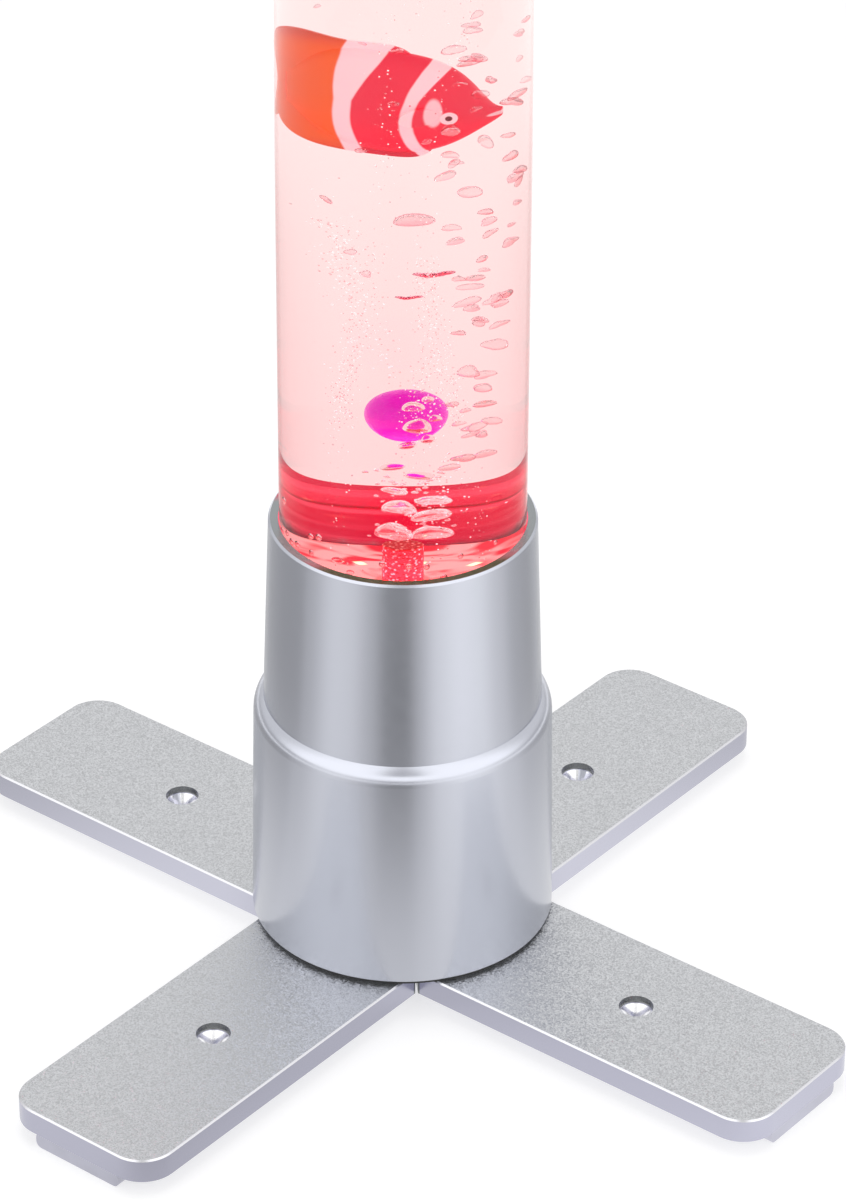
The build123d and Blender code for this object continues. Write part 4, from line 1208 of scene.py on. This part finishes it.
@dataclass
class Base:
    """Legs, foot bars, base plate, housing and everything inside it."""

    looks: tuple[tuple[Finish, str], ...] = (
        (SparklePaint("sparkling silver"), "front_left_leg front_right_leg rear_left_leg rear_right_leg"),
        (LitShell("satin silver shell"), "base_housing"),
        (PlainSurface("silver bar", (0.50, 0.50, 0.58), 1.0, 0.38, 0.5, 0.06), "foot_bars"),
        (BushMetal("turned metal"), "leg_hole_bushes"),
        (
            PlainSurface("zinc plate", (0.62, 0.62, 0.60), 1.0, 0.32, 0.3, 0.08),
            "leg_screws housing_screws carrier_screws inlet_nut",
        ),
        (PlainSurface("black enamel", (0.02, 0.02, 0.02), 0.0, 0.35, 0.6, 0.1), "base_plate"),
        (
            PlainSurface("white plastic", (0.80, 0.80, 0.77), 0.0, 0.42, 0.5, 0.08),
            "tube_carrier reflector air_fitting fitting_nut swing_arm check_valve",
        ),
        (
            PlainSurface("black plastic", (0.025, 0.025, 0.027), 0.0, 0.40, 0.4, 0.15),
            "power_inlet pump_case pump_lid valve_block",
        ),
        (RUBBER, "tube_pad fitting_seal pump_feet pivot_block power_cable led_cable"),
        (
            PlainSurface("silicone hose", (0.72, 0.75, 0.72), 0.0, 0.45, 0.6, 0.05),
            "lower_air_hose upper_air_hose",
        ),
        (PlainSurface("sheet iron", (0.20, 0.20, 0.21), 1.0, 0.45, 0.5, 0.3), "pump_core"),
        (PlainSurface("ferrite", (0.07, 0.07, 0.075), 0.2, 0.6, 0.3, 0.3), "arm_magnet"),
        (PlainSurface("enamelled wire", (0.45, 0.14, 0.04), 0.8, 0.3, 0.25, 0.5), "pump_coil"),
        (PlainSurface("circuit board", (0.02, 0.16, 0.06), 0.0, 0.35, 1.2, 0.15), "control_board"),
        (PlainSurface("white circuit board", (0.75, 0.75, 0.72), 0.0, 0.35, 1.2, 0.1), "led_board"),
        (PlainSurface("component bodies", (0.04, 0.04, 0.045), 0.0, 0.38, 0.4, 0.1), "board_components"),
        (PlainSurface("lamp packages", (0.90, 0.82, 0.45), 0.0, 0.2, 0.4, 0.05), "leds"),
    )

    def build(self) -> None:
        """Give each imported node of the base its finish."""
        for finish, nodes in self.looks:
            dress_nodes(finish, *nodes.split())


@dataclass
class TopCap:
    """The cap and the soft ring in its roof."""

    silver: SatinPaint = SatinPaint("satin silver")

    def build(self) -> None:
        """Give the cap's nodes their finish."""
        dress_nodes(self.silver, "top_cap")
        dress_nodes(RUBBER, "cap_seal")


@dataclass
class PumpCup:
    """The pump's rubber cup."""

    node: str = "pump_diaphragm"
    crown: float = 1.2
    rim: float = 6.5
    segments: int = 72

    def build(self) -> None:
        """Turn the cup about the line from the arm to the valve block, with one fold in its outline."""
        low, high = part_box(self.node)
        across, up = (low[0] + high[0]) / 2 / MM, (low[2] + high[2]) / 2 / MM
        outline = [
            (0.0, 0.0), (3.3, 0.0), (3.5, 0.2), (3.9, 1.4), (4.7, 2.1), (5.5, 3.2), (5.9, 4.4), (6.9, 5.4),
            (7.7, self.rim), (8.8, self.rim), (9.0, 6.7), (9.0, 7.8), (8.8, 8.0), (6.6, 8.0), (5.4, 6.0),
            (4.6, 4.9), (4.2, 3.8), (3.3, 2.9), (2.7, 1.9), (2.3, self.crown), (0.0, self.crown),
        ]
        cup = Shape()
        cup.turned(outline, self.segments)
        cup.points = [(across + x, low[1] / MM + reach, up - y) for x, y, reach in cup.points]
        made = cup.piece("flexing_cup", [RUBBER])
        sharpen(made)
        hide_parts(self.node)
        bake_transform(made)


@dataclass
class Floats:
    """Where the floating pieces may go, so that bubbles keep clear of them."""

    margin: float = 1.0
    reach: list[tuple[Vector, Vector]] = field(default_factory=list)

    def __post_init__(self) -> None:
        """Read each floating node's box and stretch it over its joint's range."""
        for joint in frame["joints"]:
            if joint["name"].endswith("_float"):
                ends = zip(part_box(joint["child"]), joint["range_m"])
                low, high = ((Vector(corner) + Vector((0, 0, way))) / MM for corner, way in ends)
                self.reach.append((low, high))

    def clear(self, centre: Point, radius: float) -> bool:
        """Tell whether a bubble keeps out of every float's way.

        Args:
            centre: the bubble's middle.
            radius: its half width.

        Returns:
            True if it does.
        """
        gap = radius + self.margin
        return not any(
            all(low[i] - gap < centre[i] < high[i] + gap for i in range(3)) for low, high in self.reach
        )


@dataclass
class WaterColumn:
    """The acrylic tube, the water in it, the plug and the air stone."""

    outer: float = 45.0
    inner: float = 42.0
    bottom: float = 154.1
    floor: float = 162.1
    top: float = 1191.7
    level: float = 1138.0
    plug_chamfer: float = 0.8
    edge: float = 0.5
    side_gap: float = 0.03
    floor_gap: float = 0.05
    meniscus: float = 1.6
    meniscus_steps: int = 6
    segments: int = 256
    # painted shade: the acrylic's pinkish-grey rim tint darkens the tube's edges
    acrylic: ClearStock = ClearStock("clear acrylic", 1.49, rim=(0.68, 0.50, 0.49))
    wetted: ClearStock = ClearStock("wetted acrylic", 1.49 / 1.33)
    surface: ClearStock = ClearStock("water surface", 1.33)
    side: WaterSide = WaterSide("water side")
    glow_floor: GlowFloor = GlowFloor("frosted plug")
    stone: PorousStone = PorousStone("porous stone")

    def tube(self) -> None:
        """Make the tube, wetted inside below the water's level."""
        outline = [
            (self.inner, self.bottom), (self.outer, self.bottom),
            (self.outer, self.top - self.edge), (self.outer - self.edge, self.top),
            (self.inner + self.edge, self.top), (self.inner, self.top - self.edge),
            (self.inner, self.level),
        ]
        shape = Shape()
        shape.turned(outline, self.segments, [0] * (len(outline) - 1) + [1])
        wall = shape.piece("tube_wall", [self.acrylic, self.wetted])
        sharpen(wall)
        set_in_column(wall, "acrylic_tube")

    def water(self) -> None:
        """Fill the tube from the plug up, with a meniscus at the top."""
        radius, floor = self.inner - self.side_gap, self.floor + self.floor_gap
        outline = [(0.0, floor), (radius - self.plug_chamfer, floor), (radius, floor + self.plug_chamfer)]
        sides = len(outline)
        for step in range(self.meniscus_steps + 1):
            turn = step / self.meniscus_steps * math.pi / 2
            inward, down = self.meniscus * (1 - math.cos(turn)), self.meniscus * math.sin(turn)
            outline.append((radius - inward, self.level - down))
        outline.append((0.0, self.level - self.meniscus))
        shape = Shape()
        shape.turned(outline, self.segments, [0] * sides + [1] * (len(outline) - sides - 1) + [0])
        body = shape.piece("water", [self.side, self.surface])
        sharpen(body)
        set_in_column(body)

    def build(self) -> None:
        """Make the tube and the water, and dress the plug and the stone."""
        self.tube()
        self.water()
        dress_nodes(self.glow_floor, "tube_plug")
        dress_nodes(self.stone, "air_stone")


@dataclass
class Bubbles:
    """Air in the water, in millimetres. Each kind of bubble fills in fill()."""

    floats: Floats
    bore: float = 42.0
    floor: float = 162.1
    level: float = 1134.0
    film: float = 0.6
    seed: int = 7
    skin: AirInWater = AirInWater("air in water")
    soft: AirInWater = AirInWater("soft air in water", 1 / 1.25, (1.0, 0.76, 0.80), 0.62)

    def fits(self, centre: Point, radius: float) -> bool:
        """Tell whether a bubble lies in the water and out of the floats' way.

        Args:
            centre: the bubble's middle.
            radius: its half width.

        Returns:
            True if it does.
        """
        inside = math.hypot(centre[0], centre[1]) + radius < self.bore - self.film
        return inside and self.floats.clear(centre, radius)

    def fill(self, shape: Shape) -> tuple[str, list[Finish]]:
        """Add the bubbles.

        Args:
            shape: what they go into.

        Returns:
            The piece's name and its finishes.
        """
        raise NotImplementedError

    def build(self) -> None:
        """Make the bubbles one piece."""
        shape = Shape()
        name, finishes = self.fill(shape)
        set_in_column(shape.piece(name, finishes))


@dataclass
class Stream(Bubbles):
    """Flattened bubbles that climb the right-hand side, and some that stray from it."""

    start: float = 216.0
    step: Span = (1.0, 3.4)
    lean_from: float = 225.0
    lean_over: float = 95.0
    sparse: float = 1.7
    denser: float = 0.8
    stray_share: float = 0.12
    stray_size: Span = (1.4, 2.4)
    stray_x: Span = (-30.0, 8.0)
    size: Span = (2.0, 4.3)
    left: float = 10.0
    spread: float = 13.0
    lean_spread: float = 12.0
    crowding: float = 0.8
    reach: float = 40.0
    front: float = -4.0
    scatter: float = 3.0
    top_gap: float = 8.0
    surface_gap: float = 6.0
    tilt: Span = (0.5, 0.22)
    tries: int = 8
    soft_share: float = 0.4
    veiled: AirInWater = AirInWater(
        "veiled air in water", 1 / 1.2, (1.0, 0.84, 0.88), 0.76, (0.96, 0.60, 0.68)
    )

    def fill(self, shape: Shape) -> tuple[str, list[Finish]]:
        """Add the stream, wider and denser from some way above the stone on."""
        draw = Random(self.seed)
        height = self.start
        while height < self.level - self.top_gap:
            lean = min(max((height - self.lean_from) / self.lean_over, 0.0), 1.0)
            height += draw.uniform(*self.step) * (self.sparse - self.denser * lean)
            stray = draw.random() < self.stray_share
            for _ in range(self.tries):
                wide = draw.uniform(*(self.stray_size if stray else self.size))
                if stray:
                    x = draw.uniform(*self.stray_x)
                else:
                    x = self.left + (self.spread + self.lean_spread * lean) * draw.random() ** self.crowding
                room = math.sqrt(self.reach ** 2 - x ** 2) - wide
                y = draw.uniform(-room, self.front)
                spot = (x, y, height + draw.uniform(-self.scatter, self.scatter))
                if self.fits(spot, wide) and spot[2] <= self.level - self.surface_gap:
                    self.flat_bubble(shape, draw, spot, wide)
                    break
        return "bubble_stream", [self.soft, self.veiled]

    def flat_bubble(self, shape: Shape, draw: Random, spot: Point, wide: float) -> None:
        """Add one flattened, tilted and uneven bubble.

        Args:
            shape: what it goes into.
            draw: where its chances come from.
            spot: its middle.
            wide: its half width.
        """
        heading, roll = (draw.gauss(0, angle) for angle in self.tilt)
        turn = Matrix.Rotation(heading, 3, "Z") @ Matrix.Rotation(roll, 3, "Y")
        sizes = (wide, wide * draw.uniform(0.6, 0.9), wide * draw.uniform(0.35, 0.6))
        shape.blob(
            spot, sizes, 9, 18, turn, flat=draw.uniform(0.15, 0.6), wave=draw.uniform(0.10, 0.30),
            phase=draw.uniform(0, 6.28), slot=0 if draw.random() < self.soft_share else 1,
        )


@dataclass(frozen=True)
class Drift:
    """A winding line of fine bubbles: its middle, its swing across and along, its phase and its top."""

    x: float
    swing: float
    y: float
    roam: float
    phase: float
    top: float


@dataclass
class Mist(Bubbles):
    """Drifts of fine bubbles that curl up the column."""

    start: float = 178.0
    top: float = 1124.0
    gap: float = 0.32
    least_gap: float = 0.02
    thick: Span = (236.0, 304.0)
    lower_end: float = 400.0
    crowd: Point = (0.42, 2.6, 2.0)
    kept: Span = (0.25, 0.75)
    size: Span = (0.12, 0.34)
    wind: float = 44.0
    puff: float = 17.0
    scatter: Span = (2.6, 3.2)
    bright: GlintingAir = GlintingAir("glinting air")

    def fill(self, shape: Shape) -> tuple[str, list[Finish]]:
        """Add three drifts over the whole height and two short ones at the lower ball."""
        draw = Random(self.seed + 1)
        for drift in (
            Drift(-15.0, 8.0, -20.0, 5.0, 0.0, self.top), Drift(13.0, 9.0, -20.0, 4.0, 3.95, self.top),
            Drift(2.0, 14.0, 24.0, 6.0, 4.0, self.top), Drift(2.5, 4.0, -15.0, 3.0, 1.0, 262.0),
            Drift(4.0, 5.0, -17.0, 3.0, 3.0, 236.0),
        ):
            self.follow(shape, draw, drift)
        return "bubble_mist", [self.skin, self.bright]

    def follow(self, shape: Shape, draw: Random, drift: Drift) -> None:
        """Add the bubbles of one drift.

        Args:
            shape: what they go into.
            draw: where their chances come from.
            drift: the line that they follow.
        """
        height = self.start
        while height < drift.top:
            thick, lower, upper = self.crowd
            below = lower if height < self.lower_end else upper
            crowd = thick if self.thick[0] < height < self.thick[1] else below
            height += (abs(draw.gauss(0.0, self.gap)) + self.least_gap) * crowd
            dense = 0.5 + 0.5 * math.sin(height / self.puff + drift.phase)
            if draw.random() > self.kept[0] + self.kept[1] * dense:
                continue
            size = draw.uniform(*self.size)
            turn = height / self.wind + drift.phase
            spot = (
                drift.x + drift.swing * math.sin(turn) + draw.gauss(0, self.scatter[0]),
                drift.y + drift.roam * math.cos(turn) + draw.gauss(0, self.scatter[1]),
                height,
            )
            if self.fits(spot, size):
                shape.blob(spot, (size, size, size * 0.9), 4, 6, slot=draw.randrange(2))


@dataclass
class Caps(Bubbles):
    """Large cap-shaped bubbles that have just left the stone, a cluster at the ball, and froth.

    Each cap is given by its middle, half width and height, each crescent by x, z and its links' half width.
    """

    caps: tuple[tuple[float, float, float, float, float], ...] = (
        (-2.4, -2.0, 185.0, 5.2, 4.4), (7.6, -1.0, 184.0, 5.0, 3.6), (7.4, -3.0, 192.5, 4.9, 3.0),
        (-1.8, -5.6, 197.5, 5.2, 2.6), (7.6, -7.0, 200.5, 4.6, 1.9), (-3.0, -7.8, 205.5, 3.6, 1.5),
        (2.6, -9.5, 231.5, 3.9, 4.2), (5.8, -9.0, 226.5, 2.2, 2.6), (0.2, -9.0, 224.5, 2.6, 1.6),
        (7.8, -8.0, 234.5, 1.8, 1.9), (-4.0, -9.0, 216.0, 3.4, 1.1), (3.5, -10.0, 212.5, 4.2, 1.0),
        (1.6, -10.5, 240.5, 3.1, 2.6), (5.6, -10.0, 243.5, 1.9, 1.4), (1.5, -13.5, 316.0, 5.6, 2.9),
    )
    fresh_below: float = 210.0
    clear_below: float = 280.0
    fresh_wave: float = 0.13
    wave: float = 0.06
    crescents: tuple[Point, ...] = ((7.1, 294.5, 1.9), (0.1, 286.0, 1.25))
    crescent_y: float = -13.5
    froth_count: int = 110
    froth_size: Span = (0.25, 0.8)
    froth_height: Span = (186.0, 214.0)
    froth_x: Span = (-2.0, 7.0)
    froth_y: Span = (-11.0, -5.0)
    froth_scatter: float = 3.4
    # painted light: the lit and milky skins are tinted red by the ring, and the milky one also glows
    lit: AirInWater = AirInWater("lit air in water", 1 / 1.25, (1.0, 0.42, 0.55), 0.5, (0.86, 0.16, 0.36))
    milky: AirInWater = AirInWater(
        "milky air in water", 1 / 1.33, (1.0, 0.93, 0.94), 0.30, (0.93, 0.60, 0.66), (0.52, 0.31, 0.34)
    )

    def fill(self, shape: Shape) -> tuple[str, list[Finish]]:
        """Add the caps, two crescents of linked bubbles and the froth round the fresh caps."""
        for x, y, z, wide, high in self.caps:
            turn = Matrix.Rotation(0.12 * math.sin(x + z), 3, "Y")
            fresh = z < self.fresh_below
            slot = 3 if fresh else 0 if z < self.clear_below else 2
            wave = self.fresh_wave if fresh else self.wave
            shape.blob((x, y, z), (wide, wide * 0.85, high), 14, 28, turn, 0.22, wave, x, slot)
        for x, z, wide in self.crescents:
            for link in range(-3, 4):
                spot = (
                    x + 0.72 * wide * link, self.crescent_y + 0.3 * math.sin(link),
                    z + 0.045 * wide * link * link,
                )
                sizes = (wide, wide * 0.8, wide * (0.42 - 0.05 * abs(link)))
                shape.blob(spot, sizes, 8, 14, None, 0.6, 0.15, link, 1)
        draw = Random(self.seed + 3)
        for _ in range(self.froth_count):
            size, height = draw.uniform(*self.froth_size), draw.uniform(*self.froth_height)
            x = draw.choice(self.froth_x) + draw.gauss(0, self.froth_scatter)
            spot = (x, draw.uniform(*self.froth_y), height)
            if self.fits(spot, size):
                shape.blob(spot, (size * 1.3, size, size * 0.8), 6, 10, None, 0.6, 0.12, x, 3)
        return "bubble_caps", [self.skin, self.lit, self.soft, self.milky]


@dataclass
class Drops(Bubbles):
    """Bubbles that sit on the floor and the wall at the foot of the column."""

    count: int = 64
    size: Span = (0.45, 1.5)
    floor_reach: Span = (12.0, 39.5)
    wall_reach: float = 41.2
    wall_rise: Span = (4.0, 34.0)

    def fill(self, shape: Shape) -> tuple[str, list[Finish]]:
        """Add one on the floor for every two on the wall."""
        draw = Random(self.seed + 2)
        for count in range(self.count):
            size = draw.uniform(*self.size)
            low = count % 3 == 0
            angle = draw.uniform(0, 2 * math.pi) if low else draw.uniform(-math.pi, 0.2)
            height = self.floor + (size * 0.8 + 0.3 if low else draw.uniform(*self.wall_rise))
            reach = draw.uniform(*self.floor_reach) if low else self.wall_reach - size
            spot = (reach * math.cos(angle), reach * math.sin(angle), height)
            if self.fits(spot, size * 0.8):
                shape.blob(spot, (size, size, size), 8, 14, wave=0.05, phase=angle)
        return "bubble_drops", [self.skin]


@dataclass
class Ball:
    """A floating ball of one colour."""

    name: str
    colour: Colour

    def build(self) -> None:
        """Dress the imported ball."""
        dress_nodes(BrightBody(self.name + " skin", self.colour), self.name)


@dataclass
class Fish:
    """A floating fish: body, fins and eyes."""

    name: str
    length: float
    height: float
    middle_z: float
    yaw: float
    front: Colour
    rear: Colour
    pale: Colour = linear(255, 218, 226)
    nose_share: float = 0.394

    def build(self) -> None:
        """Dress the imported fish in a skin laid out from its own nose."""
        nose, heading = self.nose_share * self.length, math.radians(self.yaw)
        skin = FishSkin(
            self.name + " skin",
            nose=(nose * math.cos(heading) * MM, nose * math.sin(heading) * MM, self.middle_z * MM),
            yaw=heading, length=self.length * MM, height=self.height * MM,
            front=self.front, rear=self.rear, pale=self.pale,
        )
        dress_nodes(skin, self.name)


# ---- studio


@dataclass
class Studio:
    """Floor, world and lamps, in metres."""

    paper: float = 12.0
    fill: float = 0.72
    rear: float = 0.92
    front: float = 1.60
    boom: float = 0.60
    boom_turn: Span = (0.15, 0.42)
    boom_rise: Span = (0.46, 0.56)
    to_front: Span = (-0.11, -0.994)
    aim: Point = (0.0, 0.0, 0.12)
    box_size: Span = (1.2, 1.6)
    boxes: tuple[tuple[str, Point, float], ...] = (
        ("left box", (-1.35, -1.05, 0.9), 5.0),
        ("right box", (1.15, -1.25, 0.9), 6.0),
        ("top box", (0.0, 0.3, 2.6), 12.0),
    )
    column_spot: Point = (0.0, 0.0, 0.1645)
    column_size: Span = (0.05, 0.05)
    column_power: float = 0.25
    column_colour: Colour = (1.0, 0.12, 0.2)
    bounces: tuple[tuple[str, int], ...] = (
        ("max_bounces", 32), ("transmission_bounces", 32), ("glossy_bounces", 24),
        ("transparent_max_bounces", 40),
    )

    def floor(self) -> None:
        """Lay a wide sheet of white paper that the lamp stands on."""
        half = self.paper / 2 / MM
        points = [(x, y, 0.0) for y in (-half, 0.0, half) for x in (-half, 0.0, half)]
        faces = [(i, i + 1, i + 4, i + 3) for i in (0, 1, 3, 4)]
        shape = Shape()
        shape.add(points, faces, [0] * len(faces))
        shape.piece("floor", [StudioFloor("white paper")], smooth=False)

    def world(self) -> None:
        """Make a white room: full white to the camera, metal and glass, softer as a light."""
        world = bpy.data.worlds.new("room")
        bpy.context.scene.world = world
        world.use_nodes = True
        world.node_tree.nodes.clear()
        tree = Tree(world.node_tree)
        mirrored, seen = mirrored_rays(tree)
        east, north, up = tree.axes(tree.node("TexCoord").outputs["Generated"])
        tent = tree.effect(Effect.TENT, {"East": east, "North": north}).outputs["Level"]
        ahead_x, ahead_y = self.to_front
        ahead = tree.math("MULTIPLY_ADD", north, ahead_y, tree.times(east, ahead_x))
        aside = tree.math("MULTIPLY_ADD", east, -ahead_y, tree.times(north, ahead_x))
        turn = tree.math("DIVIDE", tree.math("ABSOLUTE", aside), tree.math("MAXIMUM", ahead, 0.01))
        gap = tree.times(
            tree.ramp(turn, *self.boom_turn, 1.0, 0.0), tree.ramp(ahead, 0.0, 0.2),
            tree.ramp(up, *self.boom_rise),
        )
        upper = tree.times(
            tree.ramp(ahead, -0.35, 0.25, self.rear, self.front),
            tree.math("MULTIPLY_ADD", gap, -self.boom, 1.0),
        )
        glossy = tree.blend(tree.ramp(up, 0.02, 0.20), tent, upper)
        light = tree.blend(mirrored, tree.ramp(seen, 0.0, 1.0, self.fill, 1.0), glossy)
        back = tree.node("Background", {"Color": light, "Strength": 1.0})
        tree.node("OutputWorld", {"Surface": back.outputs[0]})

    def lamp(
        self, name: str, spot: Point, aim: Point, size: Span, power: float,
        colour: Colour = WHITE,
    ) -> None:
        """Hang an area lamp that lights but is itself never seen.

        Args:
            name: its name.
            spot: where it hangs.
            aim: what it points at.
            size: its width and height.
            power: its power in watts.
            colour: its colour.
        """
        data = bpy.data.lights.new(name, "AREA")
        data.shape = "RECTANGLE"
        data.size, data.size_y = size
        data.energy = power
        data.color = colour
        made = bpy.data.objects.new(name, data)
        made.location = spot
        made.rotation_mode = "QUATERNION"
        made.rotation_quaternion = (Vector(aim) - Vector(spot)).to_track_quat("-Z", "Y")
        made.visible_camera = made.visible_glossy = made.visible_transmission = False
        bpy.context.scene.collection.objects.link(made)

    def lamps(self) -> None:
        """Hang two soft boxes in front at the sides, one above, and the light under the column."""
        for name, spot, power in self.boxes:
            self.lamp(name, spot, self.aim, self.box_size, power)
        up = (0.0, 0.0, 1.0)
        column = (self.column_spot, up, self.column_size, self.column_power, self.column_colour)
        self.lamp("column light", *column)

    def build(self) -> None:
        """Set up the studio."""
        self.floor()
        self.world()
        self.lamps()
        bpy.context.scene.view_settings.view_transform = "Standard"
        for kind, count in self.bounces:
            setattr(bpy.context.scene.cycles, kind, count)
        log.info("studio ready")


@dataclass
class Camera:
    """A long lens from the front and above, in metres and degrees."""

    sensor: float = 36.0
    lens: float = 156.69
    shift: Span = (0.0292, -0.14)
    clip: Span = (0.05, 50.0)
    spot: Point = (-0.17864, -1.61390, 1.15632)
    down: float = 29.997
    heading: float = -6.124

    def build(self) -> None:
        """Set up the camera."""
        data = bpy.data.cameras.new("camera")
        data.sensor_width, data.lens = self.sensor, self.lens
        data.shift_x, data.shift_y = self.shift
        data.clip_start, data.clip_end = self.clip
        made = bpy.data.objects.new("camera", data)
        made.location = self.spot
        made.rotation_euler = (math.radians(90 - self.down), 0.0, math.radians(self.heading))
        bpy.context.scene.collection.objects.link(made)
        bpy.context.scene.camera = made
        log.info("camera ready")


def main() -> None:
    """Build and dress the lamp piece by piece."""
    logging.basicConfig(level=logging.INFO, format="%(name)s: %(message)s")
    floats = Floats()
    for part in (
        Studio(), Camera(), Base(), PumpCup(), TopCap(), WaterColumn(),
        Stream(floats), Mist(floats), Caps(floats), Drops(floats),
        Ball("lower_ball", linear(236, 20, 214)),
        Ball("middle_ball", linear(60, 200, 60)),
        Ball("upper_ball", linear(250, 210, 30)),
        Fish("lower_fish", 64.0, 45.6, 359.8, -6.0, linear(238, 32, 68), linear(246, 94, 16)),
        Fish("middle_fish", 56.0, 34.0, 680.0, 168.0, linear(250, 200, 40), linear(250, 150, 20)),
        Fish("upper_fish", 58.0, 36.0, 985.0, 24.0, linear(40, 90, 220), linear(20, 40, 150)),
    ):
        part.build()


if __name__ == "__main__":
    main()
